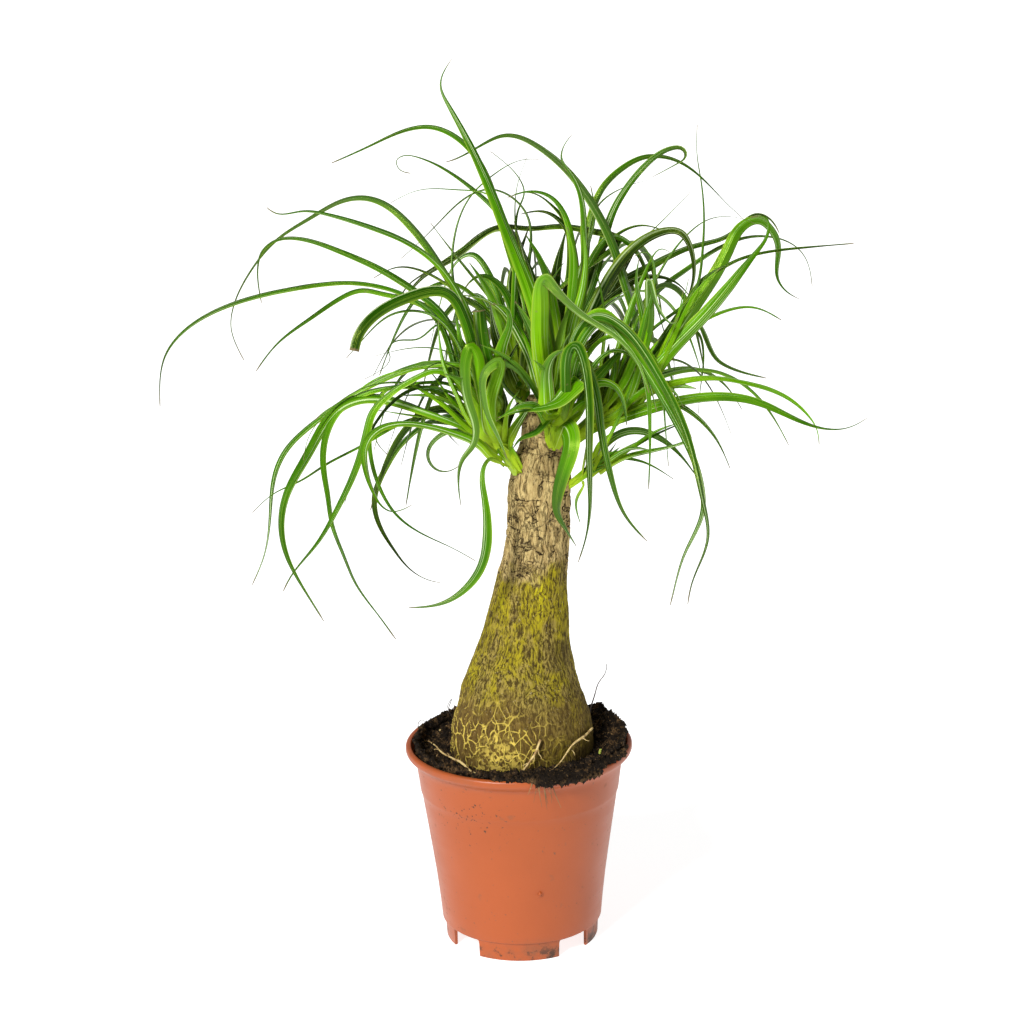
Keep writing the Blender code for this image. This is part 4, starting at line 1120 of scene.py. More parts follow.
def make_pot_finish(settings):
    finish = Finish("terracotta_plastic")
    parts = finish.separate(finish.place)
    height = parts.also("Z")
    cloudy = finish.noise(finish.place, 22.0, 4.0)
    gap = finish.vector("DISTANCE", finish.place, (-0.030, -0.050, 0.099), out="Value")
    cluster = gap.between(0.034, 0.004)
    specks = (finish.noise(finish.place, 420.0, 2.0) + cluster * 0.062).between(0.69, 0.73)
    blots = finish.noise(finish.place, 95.0, 2.0).between(0.68, 0.75)
    crust = finish.noise(finish.place, 130.0, 4.0, 0.7) + parts.between(-0.02, 0.03) * 0.10
    mud = crust.between(0.56, 0.64) * height.between(0.013, 0.002)
    dust = finish.noise(finish.place, 60.0, 5.0, 0.7).between(0.42, 0.72)
    dusty = dust * height.between(0.020, 0.0) * 0.75 + dust * height.between(0.112, 0.1265) * 0.25
    soiled = (specks * 0.75 + blots * 0.35 + dusty).clamped()
    colour = finish.layered(
        settings.colour,
        ((cloudy - 0.5) * 0.7 + 0.12, [c * 0.72 for c in settings.colour]),
        (soiled, settings.worn),
        ((mud + specks * cluster).clamped() * 0.85, settings.mud),
    )
    scuffs = finish.noise(finish.stretched(finish.place, 1, 1, 9), 30.0, 3.0)
    rough = 0.40 + (cloudy - 0.5) * 0.25 + soiled * 0.4 + (scuffs - 0.5) * 0.1
    finish.set(Base_Color=colour, Specular_IOR_Level=0.4, Roughness=rough)
    grain = finish.noise(finish.place, 900.0, 2.0)
    finish.bump(grain * 0.25 + cloudy * 0.9 + soiled * 0.4, 0.0004, 0.35)
    return finish.material


class PALM_OT_pot(bpy.types.Operator):
    """Builds the nursery pot, with its rolled rim, stepped wall, notched foot and drain holes"""

    bl_idname = "palm.pot"
    bl_label = "Pot"

    notches = (-48, 42, 132, 222)
    notch_depth = 14 * MM
    notch_width = 23 * MM
    foot_radius = 47.5 * MM
    foot_height = 12 * MM
    drain_radius = 4 * MM
    drain_depth = 20 * MM
    drain_share = 0.62  # how far out a drain hole lies, against the foot
    mark_height = 47 * MM
    mark_across = 11 * MM
    mark_profile = (
        (0, 1.4), (0.6, 1.25), (1.0, 0.9), (1.2, 0.2), (1.4, 0.0), (1.7, 0.4), (2.0, 0.3), (2.2, -0.6),
        (0, -0.6),
    )

    def execute(self, context):
        settings = context.scene.palm_pot
        shell = turned_mesh("nursery_pot", pot_profile(settings.wall), settings.steps)
        pot = new_object("nursery_pot", shell)
        cutters = list(self.cutters())
        for cutter in cutters:
            boolean = pot.modifiers.new("cut", "BOOLEAN")
            boolean.operation = "DIFFERENCE"
            boolean.solver = "EXACT"
            boolean.object = cutter
        pot.data = whole = evaluated(pot)
        pot.modifiers.clear()
        for cutter in cutters:
            bpy.data.objects.remove(cutter)
        whole.shade_smooth()
        whole.set_sharp_from_angle(angle=math.radians(38))
        whole.materials.clear()
        whole.materials.append(make_pot_finish(settings))
        keep(pot, "pot", "pot")
        mark = new_object("moulding_mark", self.gate_mark())
        mark.data.materials.append(whole.materials[0])
        keep(mark, "pot")
        return {"FINISHED"}

    def cutters(self):
        """The notches in the foot, each with a drain hole on its inner side."""
        for angle in self.notches:
            way = math.radians(angle - 90)
            out = Vector((math.cos(way), math.sin(way), 0))
            size = (self.notch_depth, self.notch_width, 2 * (self.foot_height - 0.8 * MM))
            notch = new_object("notch", rounded_block(size, 1.2 * MM))
            notch.location = out * self.foot_radius
            notch.rotation_euler.z = way
            yield notch
            drain = new_object("drain", bpy.data.meshes.new("drain"))
            with editing(drain.data) as bm:
                ends = {"radius1": self.drain_radius, "radius2": self.drain_radius}
                bmesh.ops.create_cone(bm, cap_ends=True, segments=40, depth=self.drain_depth, **ends)
            drain.location = out * self.foot_radius * self.drain_share + Vector((0, 0, self.foot_height))
            yield drain

    def gate_mark(self):
        """The small moulding mark low on the front of the wall."""
        mesh = turned_mesh("moulding_mark", self.mark_profile, 28)
        wall = inner_radius(self.mark_height) + 1.35 * MM
        outward = Vector((self.mark_across, -math.sqrt(wall**2 - self.mark_across**2), 0))
        mesh.transform(Vector((0, 0, 1)).rotation_difference(outward).to_matrix().to_4x4())
        mesh.transform(Matrix.Translation(outward + Vector((0, 0, self.mark_height))))
        mesh.shade_smooth()
        return mesh


# --- the trunk ------------------------------------------------------------------------------------


def bark_pattern(graph, place):
    """Wires that say where the bark's cracks, strips and corky seams run, in a mesh tree or in a material."""
    height = graph.separate(place).also("Z")
    wander = graph.vector("SUBTRACT", graph.noise(place, 42.0, 2.0).also("Color"), (0.5, 0.5, 0.5))
    bent = graph.vector("ADD", place, graph.vector("MULTIPLY", wander, (0.010, 0.010, 0.016)))
    patchy = graph.noise(place, 30.0, 4.0)
    level = height + (patchy - 0.5) * 0.060
    # long upright splits, and short level ones that run part of the way round
    upright = graph.noise(graph.stretched(bent, 1, 1, 0.17), 190.0, 3.0, 0.6)
    across = graph.noise(graph.stretched(bent, 0.30, 0.30, 1.0), 105.0, 3.0, 0.6)
    where = graph.noise(place, 60.0, 1.0).between(0.42, 0.54)
    # the bulb's plates and the corky seams between them
    edge = graph.voronoi(graph.stretched(bent, 1, 1, 0.60), 208.0, "DISTANCE_TO_EDGE")
    uneven = graph.noise(place, 210.0, 2.0)
    broken = graph.noise(place, 120.0, 2.0).between(0.36, 0.50)
    seam = (edge - (uneven - 0.5) * 0.12).between(0.090, 0.020) * broken
    front = graph.vector("DOT_PRODUCT", place, (-21.0, -14.0, 0.0), out="Value")
    reach = level.between(0.172, 0.142) * (front + (patchy - 0.5) * 1.4).between(-0.15, 0.60)
    return {
        "height": height,
        "patchy": patchy,
        "crown": level.between(0.232, 0.242),
        "bulb": level.between(0.178, 0.146),
        "split": abs(upright - 0.5).between(0.030, 0.004),
        "level_split": abs(across - 0.5).between(0.022, 0.004) * where,
        "ridge": graph.noise(graph.stretched(bent, 1, 1, 0.24), 760.0, 4.0, 0.7),
        "flakes": graph.noise(graph.stretched(bent, 1, 1, 0.45), 150.0, 4.0, 0.7),
        "seam": seam * reach,
        "plate": (1 - seam) * reach,
    }


def make_bark_shape(settings, finish):
    """The tree that grows fissured bark around the trunk's axis."""
    shape = Shape("bark", Around=settings.around, Material=finish)
    bark = bark_pattern(shape, shape.place)
    crown = bark["crown"]
    lumps = shape.noise(shape.place, 48.0, 3.0) - 0.5
    bumpy = shape.noise(shape.place, 120.0, 3.0) - 0.5
    rise = (bark["flakes"] - 0.5) * (0.0007 + crown * 0.0016)
    rise = rise + (bark["ridge"] - 0.5) * 0.0008 + bark["seam"] * 0.0007 + bumpy * bark["bulb"] * 0.0014
    rise = rise - bark["split"] * (0.00025 + crown * 0.00055) - bark["level_split"] * crown * 0.0008
    body = shape.swept(shape.lines((0.0, -1.0, 0.0)), shape.circle("Around"), shape.named("girth"))
    return shape.finish(shape.swollen(body, rise + lumps * 0.0030))


def make_bark_finish(settings):
    finish = Finish("ponytail_bark")
    bark = bark_pattern(finish, finish.place)
    height, patchy, ridge, flakes = bark["height"], bark["patchy"], bark["ridge"], bark["flakes"]
    blotch = finish.noise(finish.stretched(finish.place, 1, 1, 0.5), 62.0, 4.0, 0.65)
    film = blotch + height.between(0.195, 0.222) * 0.05
    skin = finish.layered(
        settings.skin,
        (ridge.between(0.60, 0.42), settings.shade),
        (film.between(0.44, 0.60) * ridge.between(0.38, 0.58) * 0.85, settings.algae),
        (film.between(0.60, 0.70) * ridge.between(0.46, 0.60) * 0.6, settings.bloom),
        (patchy.between(0.60, 0.72) * 0.55, settings.shade),
    )
    wrinkles = finish.noise(finish.stretched(finish.place, 1, 1, 0.28), 430.0, 4.0, 0.7)
    stem = finish.layered(
        settings.stem,
        (wrinkles.between(0.58, 0.42) * 0.85, settings.flake),
        (flakes.between(0.54, 0.44) * 0.30, settings.flake),
        (ridge.between(0.52, 0.38) * 0.72, settings.shade),
    )
    plates = finish.mix(ridge.between(0.64, 0.38) * 0.6, settings.plate, settings.shade)
    beside = finish.vector("DISTANCE", finish.place, (-0.014, -0.046, 0.128), out="Value")
    grains = finish.noise(finish.place, 330.0, 3.0, 0.6).between(0.46, 0.56)
    cracks = bark["split"] * (0.30 + bark["crown"] * 0.40) + bark["level_split"] * bark["crown"] * 0.9
    specks = finish.noise(finish.place, 700.0, 2.0, 0.7)
    colour = finish.layered(
        skin,
        (bark["crown"], stem),
        (bark["bulb"] * 0.55, plates),
        (bark["plate"] * 0.85, plates),
        (bark["seam"] * 0.88, settings.cork),
        (grains * beside.between(0.022, 0.006) * 0.85, settings.cork),
        # painted shade: the cracks are darkened as shade falls in them
        ((cracks * (1 - bark["seam"])).clamped(), settings.crack),
        (specks.between(0.62, 0.74) * 0.30, settings.flake_light),
        # darker towards the bottom, where the bark meets the soil
        (height.between(0.132, 0.122) * 0.45, settings.crack),
    )
    finish.set(Base_Color=colour, Roughness=0.84 - bark["seam"] * 0.1, Specular_IOR_Level=0.10)
    grain = finish.noise(finish.stretched(finish.place, 1, 1, 0.3), 1500.0, 3.0, 0.7)
    relief = grain * 0.35 + ridge * 0.9 + flakes * bark["crown"] * 0.9 + bark["seam"] * 0.8 - cracks * 0.9
    finish.bump(relief, 0.0011, 0.8)
    return finish.material


class PALM_OT_trunk(bpy.types.Operator):
    """Builds the swollen trunk with its fissured bark, corky plates and ring cracks"""

    bl_idname = "palm.trunk"
    bl_label = "Trunk"

    bark_from = 0.100  # height of the lowest bark; the rest is buried

    def execute(self, context):
        settings = context.scene.palm_trunk
        rows = smooth_through([(x, 0, z, r) for z, x, r in trunk_outline(6 * MM)], settings.step)
        rows = rows[rows[:, 2] > self.bark_from]
        axis = Threads()
        axis.add(rows[:, :3], rows[:, 3])
        shape = make_bark_shape(settings, make_bark_finish(settings))
        keep(shape.run("trunk_bark", axis.mesh("trunk_axis")), "trunk", "trunk")
        return {"FINISHED"}


# --- soil and roots -------------------------------------------------------------------------------


class Threads(Guide):
    """Guide lines for roots, twigs and fibres: each point holds its half thickness."""

    labels = ("girth",)

    def add(self, line, girths):
        """Adds a thread along a smooth line; its half thickness runs through these values."""
        self.add_line(line, spread_out(girths, np.linspace(0, 1, len(line))))


def thread_shape(finish):
    """The tree that draws a knotty round thread along each guide line."""
    shape = Shape("thread", Sides=8, Knots=0.35, Material=finish)
    girth = shape.named("girth")
    body = shape.swept(shape.lines(), shape.circle("Sides"), girth)
    knots = (shape.noise(shape.place, 420.0, 3.0, 0.7) - 0.5) * 2 * girth
    return shape.finish(shape.swollen(body, knots * shape.given("Knots")))


def wandering(start, heading, length, wander, chance):
    """A line that sets out from its start and turns a little at every step."""
    steps = 6
    line = [np.array(start, float)]
    way = unit(np.array(heading, float))
    for _ in range(steps):
        way = unit(way + chance.normal(0, wander, 3))
        line.append(line[-1] + way * length / steps)
    return smooth_through(line, length / 12)


class PALM_OT_soil(bpy.types.Operator):
    """Builds the potting soil with its crumbs and fibres"""

    bl_idname = "palm.soil"
    bl_label = "Soil"

    rings = 90
    sectors = 220
    # the circle under the trunk from which the surface runs out: its middle's X, and its radius
    hub = (2 * MM, 40 * MM)
    banked = 4.2 * MM  # how far the soil climbs towards the wall, and how much more at the right
    banked_right = 2.6 * MM
    # the rings of its side down to the pot's floor; each lies side_step or more below the one before
    side_heights = (0.121, 0.118, 0.115, 0.110, 0.104, 0.060, 0.0145)
    side_step = 0.0004
    side_gap = 0.0006  # between the side and the wall
    edge_gap = 0.0003  # between the surface's edge and the wall
    edge_height = 0.112  # where the wall's radius is first read
    framed_reach = 0.061  # the framed surface is read no further out than this
    floor_ring = (0.004, 0.0142)  # radius and height of the last ring, on the pot's floor
    fibre_reach = 0.0615
    fibre_height = 0.118  # of a fibre that has no soil below it
    spill_density = 3.4e6  # crumbs for each square metre
    # strips of spilled soil over the rim: where each begins and ends, in degrees from +X, its inner and outer
    # radius, and how high these lie above the rim, in millimetres
    spills = (
        (-104, -12, 63.5, 67.5, 0.0, 0.2),
        (-92, -24, 63.5, 69.0, 0.9, 0.8),
        (-84, -44, 65.0, 69.8, 1.9, 0.9),
        (-82, -46, 69.4, 70.8, 0.8, -2.6),
        (8, 60, 63.5, 67.0, 0.0, 0.4),
    )

    def execute(self, context):
        settings = context.scene.palm_soil
        finish = self.soil_finish(settings)
        body = self.soil_body(finish)
        keep(body, "soil", "soil")
        shape = self.crumb_shape(settings, finish)
        keep(shape.run("soil_crumbs", body.data.copy()), "soil")
        spill = shape.run("spilled_soil", self.spill_guide(), Density=self.spill_density, Seed=9, Size=1.15)
        keep(spill, "soil")
        threads = Threads()
        chance = np.random.default_rng(3)
        self.add_fibres(threads, settings.fibres, body, chance)
        self.add_hanging_fibres(threads, settings.fibres // 17, chance)
        fibres = thread_shape(self.fibre_finish(settings)).run("soil_fibres", threads.mesh("fibres"), Sides=5)
        keep(fibres, "soil")
        return {"FINISHED"}

    def add_fibres(self, threads, count, body, chance):
        """Loose fibres lying on the soil."""
        places = [vertex.co for vertex in body.data.vertices]
        ground = BVHTree.FromPolygons(places, [face.vertices for face in body.data.polygons])
        for _ in range(count):
            turn, radius = chance.uniform(0, 2 * math.pi), chance.uniform(43, 61) * MM
            start = (radius * math.cos(turn), radius * math.sin(turn), 0)
            heading = (*chance.normal(0, 1, 2), 0)
            line = wandering(start, heading, chance.uniform(4, 15) * MM, 0.35, chance)
            for point in line:
                point[:2] *= min(1.0, self.fibre_reach / np.linalg.norm(point[:2]))
                lifted = abs(point[2]) * 0.25 + 0.0004
                point[2] = height_at(ground, point[:2], self.fibre_height) + lifted
            girth = chance.uniform(0.12, 0.34) * MM
            threads.add(line, (girth, girth * 0.8, girth * 0.3))

    @staticmethod
    def add_hanging_fibres(threads, count, chance):
        """Fibres that hang over the rim at the front right."""
        for _ in range(count):
            out, side = level_ways(math.radians(chance.normal(-80, 8)))
            fall = chance.uniform(3, 19) * MM
            sway = chance.normal(0, 5) * MM
            # how far beyond the rim and above its top, and the share of the sway
            bends = (
                (-3 * MM, 1.5 * MM, 0),
                (-0.6 * MM, 0.9 * MM, 0.1),
                (0.5 * MM, -fall * 0.3, 0.4),
                (0.3 * MM, -fall, 1),
            )
            places = [
                out * (POT_RADIUS + beyond) + np.array([0, 0, POT_HEIGHT + above]) + side * sway * share
                for beyond, above, share in bends
            ]
            girth = chance.uniform(0.14, 0.32) * MM
            threads.add(smooth_through(places, 0.7 * MM), (girth, girth, girth * 0.3))

    @staticmethod
    def fibre_finish(settings):
        finish = Finish("soil_fibres")
        mixed = finish.noise(finish.place, 70.0, 2.0)
        colour = finish.mix(mixed.between(0.42, 0.62), settings.light, settings.fibre)
        finish.set(Base_Color=colour, Roughness=0.85)
        finish.bump(finish.noise(finish.place, 1500.0, 2.0), 0.0002, 0.5)
        return finish.material

    def soil_body(self, finish):
        """The soil from the pot's floor to its lumpy surface; only the surface is raised by the lumps."""
        points, faces = self.soil_rows(surface_of("soil"))
        mesh = bpy.data.meshes.new("soil_guide")
        mesh.from_pydata(points, [], faces)
        mesh.validate()
        with editing(mesh) as bm:
            bmesh.ops.recalc_face_normals(bm, faces=bm.faces)
        open_rows = self.rings * self.sectors
        set_attribute(mesh, "open_air", [float(i < open_rows) for i in range(len(points))])
        shape = Shape("soil_surface", Material=finish)
        clods = shape.voronoi(shape.place, 260.0)
        lumps = shape.noise(shape.place, 100.0, 4.0, 0.65)
        grit = shape.noise(shape.place, 700.0, 3.0, 0.7)
        rise = (lumps - 0.5) * 0.0075 + (0.5 - clods) * 0.0020 + (grit - 0.5) * 0.0012
        offset = shape.combine(0.0, 0.0, rise * shape.named("open_air"))
        return shape.finish(shape.moved(shape.start, offset)).run("potting_soil", mesh)

    def soil_rows(self, surface):
        """(points, faces): rows of points round the soil, from under the trunk out, down and back inwards."""
        (centre, girth), height = self.hub, POT_HEIGHT
        turns = [2 * math.pi * sector / self.sectors for sector in range(self.sectors)]
        ways = [Vector((math.cos(turn), math.sin(turn))) for turn in turns]
        edges = []
        for way in ways:
            radius = inner_radius(self.edge_height)
            for _ in range(3):  # the edge's height and the wall's radius there settle in a few rounds
                height = height_at(surface, way * min(radius - self.side_gap, self.framed_reach), height)
                radius = inner_radius(height + self.bank_of(way)) - self.edge_gap
            edges.append(radius)
        points = []
        for ring in range(self.rings + 1):
            share = ring / self.rings
            for way, radius in zip(ways, edges):
                spot = (Vector((centre, 0)) + way * girth).lerp(way * radius, share)
                top = height_at(surface, spot * (1 - self.side_gap / radius), height)
                height = top if top > LOWEST_SOIL_TOP else height
                points.append((*spot, height + self.bank_of(way) * share**3))
        edge_heights = [point[2] for point in points[-self.sectors :]]
        for drop, lowest in enumerate(self.side_heights, start=1):
            for way, edge in zip(ways, edge_heights):
                height = min(lowest, edge - drop * self.side_step)
                points.append((*(way * (inner_radius(height) - self.side_gap)), height))
        radius, height = self.floor_ring
        points.extend((*(way * radius), height) for way in ways)
        faces = []
        for row in range(0, len(points) - self.sectors, self.sectors):
            for sector in range(self.sectors):
                a, b = row + sector, row + (sector + 1) % self.sectors
                faces.append((a, a + self.sectors, b + self.sectors, b))
        faces.append(tuple(range(self.sectors)))
        return points, faces

    def bank_of(self, way):
        """How far the soil climbs where it meets the wall in this direction."""
        return self.banked + max(0.0, way.x + 0.25) * self.banked_right

    def spill_guide(self):
        """The strips on which spilled soil lies."""
        points, faces = [], []
        steps = 40
        for low, high, inner, outer, near, far in self.spills:
            first = len(points)
            for turn in np.radians(np.linspace(low, high, steps)):
                for radius, lift in ((inner, near), (outer, far)):
                    out = radius * MM
                    points.append((out * math.cos(turn), out * math.sin(turn), POT_HEIGHT + lift * MM))
            starts = range(first, len(points) - 2, 2)
            faces.extend((start, start + 1, start + 3, start + 2) for start in starts)
        mesh = bpy.data.meshes.new("spill_guide")
        mesh.from_pydata(points, [], faces)
        set_attribute(mesh, "open_air", np.ones(len(points)))
        return mesh

    @staticmethod
    def crumb_shape(settings, finish):
        """The tree that strews crumbs of many sizes over the surface that lies in the open air."""
        density = settings.crumbs / OPEN_SOIL_AREA
        shape = Shape("soil_crumbs", Density=density, Seed=4, Size=1.0, Material=finish)
        density = shape.named("open_air").between(0.97, 0.99) * shape.given("Density")
        sockets = {"Mesh": shape.start, "Density": density, "Seed": shape.given("Seed")}
        spots = shape.add("GeometryNodeDistributePointsOnFaces", None, sockets)
        size = shape.add("FunctionNodeRandomValue", None, {"Min_001": 0.0, "Max_001": 1.0, "Seed": 7}, 1)
        size = (0.0008 + size ** 4 * 0.0026) * shape.given("Size")
        sockets = {"Min": (0, 0, 0), "Max": (6, 6, 6), "Seed": 3}
        turn = shape.add("FunctionNodeRandomValue", {"data_type": "FLOAT_VECTOR"}, sockets)
        grain = shape.add("GeometryNodeMeshUVSphere", None, {"Radius": 1.1, "Segments": 4, "Rings": 2})
        lumpy = shape.noise(shape.place, 0.9, 2.0).also("Color")
        grain = shape.moved(grain, shape.vector("SUBTRACT", lumpy, (0.5, 0.5, 0.5)))
        flattened = shape.combine(size, size * 0.8, size * 0.6)
        sockets = {"Points": spots, "Instance": grain, "Rotation": turn, "Scale": flattened}
        return shape.finish(shape.add("GeometryNodeInstanceOnPoints", None, sockets))

    @staticmethod
    def soil_finish(settings):
        finish = Finish("potting_soil")
        coarse = finish.noise(finish.place, 150.0, 4.0, 0.65)
        fine = finish.noise(finish.place, 900.0, 3.0, 0.7)
        shaded_pits = finish.noise(finish.place, 520.0, 2.0, 0.6)
        colour = finish.layered(
            settings.dark,
            (coarse.between(0.46, 0.66) * 0.8, settings.light),
            (fine.between(0.58, 0.70) * 0.7, settings.fibre),
            # painted shade in the hollows between the crumbs
            (1 - shaded_pits.between(0.40, 0.52), settings.dark),
        )
        finish.set(Base_Color=colour, Roughness=0.75, Specular_IOR_Level=0.14)
        finish.bump(fine, 0.0010, 1.0)
        return finish.material


def root_line(node, spacing):
    """Points along the middle of a framed root, from its end on the trunk."""
    places = corners_of(node)
    reach = (places - places.mean(axis=0)) @ longest_way(places)
    order = np.argsort(reach)
    breaks = np.flatnonzero(np.diff(reach[order]) > 1.2 * MM) + 1
    line = np.array([places[group].mean(axis=0) for group in np.split(order, breaks)])
    if line[0, 2] < line[-1, 2]:
        line = line[::-1]
    return smooth_through(line, spacing)


class PALM_OT_roots(bpy.types.Operator):
    """Builds the roots that lie on the soil, with their rootlets, and the loose twigs beside the trunk"""

    bl_idname = "palm.roots"
    bl_label = "Roots"

    root_girths = (0.8 * MM, 0.65 * MM, 0.8 * MM, 0.6 * MM, 0.45 * MM, 0.25 * MM)
    rootlet_girths = (0.4 * MM, 0.28 * MM, 0.12 * MM)
    # each twig: half thickness in millimetres, and the points that it passes
    twigs = (
        (0.50, (
            (43, -2, 138), (45, -2, 149), (47.3, -2, 156.6), (49.9, -2, 164.4), (53.9, -2, 170.5),
            (54.5, -2, 176),
        )),
        (0.30, ((-40, 4, 140), (-43, 4, 147), (-42, 4, 150), (-41, 4, 153), (-43, 4, 150), (-44, 3, 144))),
        (0.25, (
            (-61, 24, 124), (-63, 26, 129), (-61, 26, 131.5), (-58.5, 26, 130), (-60, 25, 127),
            (-64, 24, 128),
        )),
    )
    sprout = ((50, -14, 119), (49.5, -15, 122.5), (50, -15.5, 125.5))

    def execute(self, context):
        shape = thread_shape(self.root_finish("surface_root", (0.72, 0.54, 0.22), (0.36, 0.22, 0.08)))
        chance = np.random.default_rng(21)
        for node in sorted(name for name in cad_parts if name.startswith("root_")):
            threads = self.root_threads(root_line(node, 0.8 * MM), chance)
            keep(shape.run(node.replace("root", "surface_root"), threads.mesh(node)), "root", node)
        self.add_piece("loose_twigs", self.twigs, 0.4, (0.050, 0.028, 0.014), (0.02, 0.012, 0.008))
        self.add_piece("sprout", ((1.1, self.sprout),), 0.7, (0.55, 0.60, 0.10), (0.40, 0.50, 0.06))
        return {"FINISHED"}

    def root_threads(self, line, chance):
        """A root that sways about its line, with a rootlet at every fifth of its way."""
        sway = smooth_through(chance.normal(0, 0.55, (max(4, len(line) // 9), 3)) * MM, 0.05 * MM)
        at = np.linspace(0, 1, len(line))
        drift = np.column_stack([spread_out(column, at) for column in sway.T])
        line = line + drift * np.sin(math.pi * at)[:, None]
        threads = Threads()
        threads.add(line, self.root_girths)
        for start in range(len(line) // 5, len(line) - 3, max(6, len(line) // 5)):
            heading = unit(line[start + 2] - line[start]) + chance.normal(0, 0.7, 3) * (1, 1, 0.2)
            rootlet = wandering(line[start], heading, chance.uniform(4, 9) * MM, 0.3, chance)
            threads.add(rootlet, self.rootlet_girths)
        return threads

    def add_piece(self, name, lines, end_share, light, dark):
        """Adds a piece of threads in two colours; each thread's end has this share of its first thickness."""
        threads = Threads()
        for girth, places in lines:
            line = smooth_through(np.array(places, float) * MM, 0.6 * MM)
            threads.add(line, (girth * MM, girth * end_share * MM))
        keep(thread_shape(self.root_finish(name, light, dark)).run(name, threads.mesh(name)), "root")

    @staticmethod
    def root_finish(name, light, dark):
        finish = Finish(name)
        streak = finish.noise(finish.place, 240.0, 4.0)
        finish.set(Base_Color=finish.mix(streak.between(0.40, 0.62), light, dark), Roughness=0.8)
        finish.bump(finish.noise(finish.place, 1200.0, 2.0), 0.0004, 0.5)
        return finish.material


def smooth_copy(node):
    """A merged and subdivided copy of a framed node's mesh."""
    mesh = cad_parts[node].data.copy()
    with editing(mesh) as bm:
        bmesh.ops.remove_doubles(bm, verts=bm.verts, dist=1e-6)
        bmesh.ops.dissolve_limit(bm, angle_limit=math.radians(1), verts=bm.verts, edges=bm.edges)
    carrier = new_object("copy", mesh)
    rounded = carrier.modifiers.new("round", "SUBSURF")
    rounded.levels = rounded.render_levels = 1
    made = evaluated(carrier)
    bpy.data.objects.remove(carrier)
    return made


# --- shoots and leaves: operators -----------------------------------------------------------------


class PALM_OT_shoots(bpy.types.Operator):
    """Wraps each shoot's stem in its clasping leaf bases"""

    bl_idname = "palm.shoots"
    bl_label = "Shoots"

    wraps = 13

    def execute(self, context):
        finish = bpy.data.materials["ponytail_leaf"]
        shape = blade_shape(context.scene.palm_leaf, finish)
        for number, shoot in enumerate(SHOOTS):
            girth = SHOOT_GIRTHS.get(shoot, 1.0)
            leaves = self.leaf_bases(shoot, girth, np.random.default_rng(50 + number))
            bases = shape.run(f"{shoot}_leaf_bases", leaves.mesh("bases"), Sides=20, Ripple=0.1)
            stem = self.stem_piece(shoot, girth, finish)
            keep(bases, "shoot", f"{shoot}_shoot")
            keep(stem, "shoot")
        return {"FINISHED"}

    def leaf_bases(self, shoot, girth, chance):
        """The bases that clasp the stem, one above the other, each bending away at its end."""
        leaves = Leaves()
        bottom, top = shoot_axis(shoot)
        stem = unit(top - bottom)
        length = np.linalg.norm(top - bottom)
        for wrap in range(self.wraps):
            out = around(stem, wrap * NEXT_LEAF_TURN + chance.uniform(-0.2, 0.2))
            share = wrap / self.wraps
            seat = bottom + stem * length * (0.10 + 0.80 * share) + out * (4.3 - 2.2 * share) * girth * MM
            tall = chance.uniform(20, 34) * MM
            # the share of its height, and how far outwards in millimetres
            bends = ((0, 0), (0.4, 0.6), (0.8, 2.0), (1, 4.0))
            route = [seat + stem * tall * rise + out * away * MM for rise, away in bends]
            midrib = smooth_through(route, 1.0 * MM)
            sides = frames_along(midrib, np.cross(stem, out), 0.0)
            gone = np.linspace(0, 1, len(midrib))
            swell = np.interp(gone, (0, 0.12, 0.45, 1), (0.55, 1, 0.8, 0.06))
            half = (4.9 - 1.6 * share) * girth * MM * swell
            tone = chance.uniform(0.05, 0.30) + (1 - girth) * 0.6
            leaves.add(midrib, sides, half, tone, 0.75, False, 20 + wrap)
        return leaves

    @staticmethod
    def stem_piece(shoot, girth, finish):
        """The stem inside the bases, brought in to its girth."""
        bottom, top = shoot_axis(shoot)
        stem = unit(top - bottom)
        core = smooth_copy(f"{shoot}_shoot")
        core.materials.clear()
        core.materials.append(finish)
        for vertex in core.vertices:
            axis = bottom + stem * ((np.array(vertex.co) - bottom) @ stem)
            vertex.co = Vector(axis).lerp(vertex.co, girth)
        for label, value in (("tone", 0.05), ("along", 0.1), ("reach", 0.0), ("own", 0.3)):
            set_attribute(core, label, np.full(len(core.vertices), value))
        core.shade_smooth()
        return new_object(f"{shoot}_stem", core)


class PALM_OT_leaves(bpy.types.Operator):
    """Grows the framed leaves, one piece each, as thin channelled blades"""

    bl_idname = "palm.leaves"
    bl_label = "Leaves"

    narrowest = 0.0003  # half width

    def execute(self, context):
        settings = context.scene.palm_leaf
        shape = blade_shape(settings, make_leaf_finish(settings))
        looks = [(shoot, name, look) for shoot in SHOOTS for name, look in LEAF_LOOKS[shoot].items()]
        for number, (shoot, name, (tone, fold)) in enumerate(looks):
            node = f"{shoot}_leaf_{name}"
            rows = smooth_through(np.column_stack(framed_blade(node, shoot_axis(shoot)[1])), 2 * MM)
            midrib, half = rows[:, :3], rows[:, 3]
            length = lengths_along(midrib)
            gone = length / length[-1]
            cut = node in TRIMMED_LEAVES
            half = half * spread_out(OWN_WIDTHS.get(node, COMMON_WIDTHS), gone)
            half = sharpened(np.maximum(half, self.narrowest), length, cut)
            side = turned_to_light(midrib, math.radians(12 * math.sin(number * 2.3)), math.radians(30))
            dull = spread_out(DULL_SIDES.get(node, (0, 0)), gone)
            leaves = Leaves()
            leaves.add(midrib, side, half, tone, fold, cut, number, dull)
            keep(shape.run(node + "_blade", leaves.mesh(node)), "leaf", node)
        return {"FINISHED"}


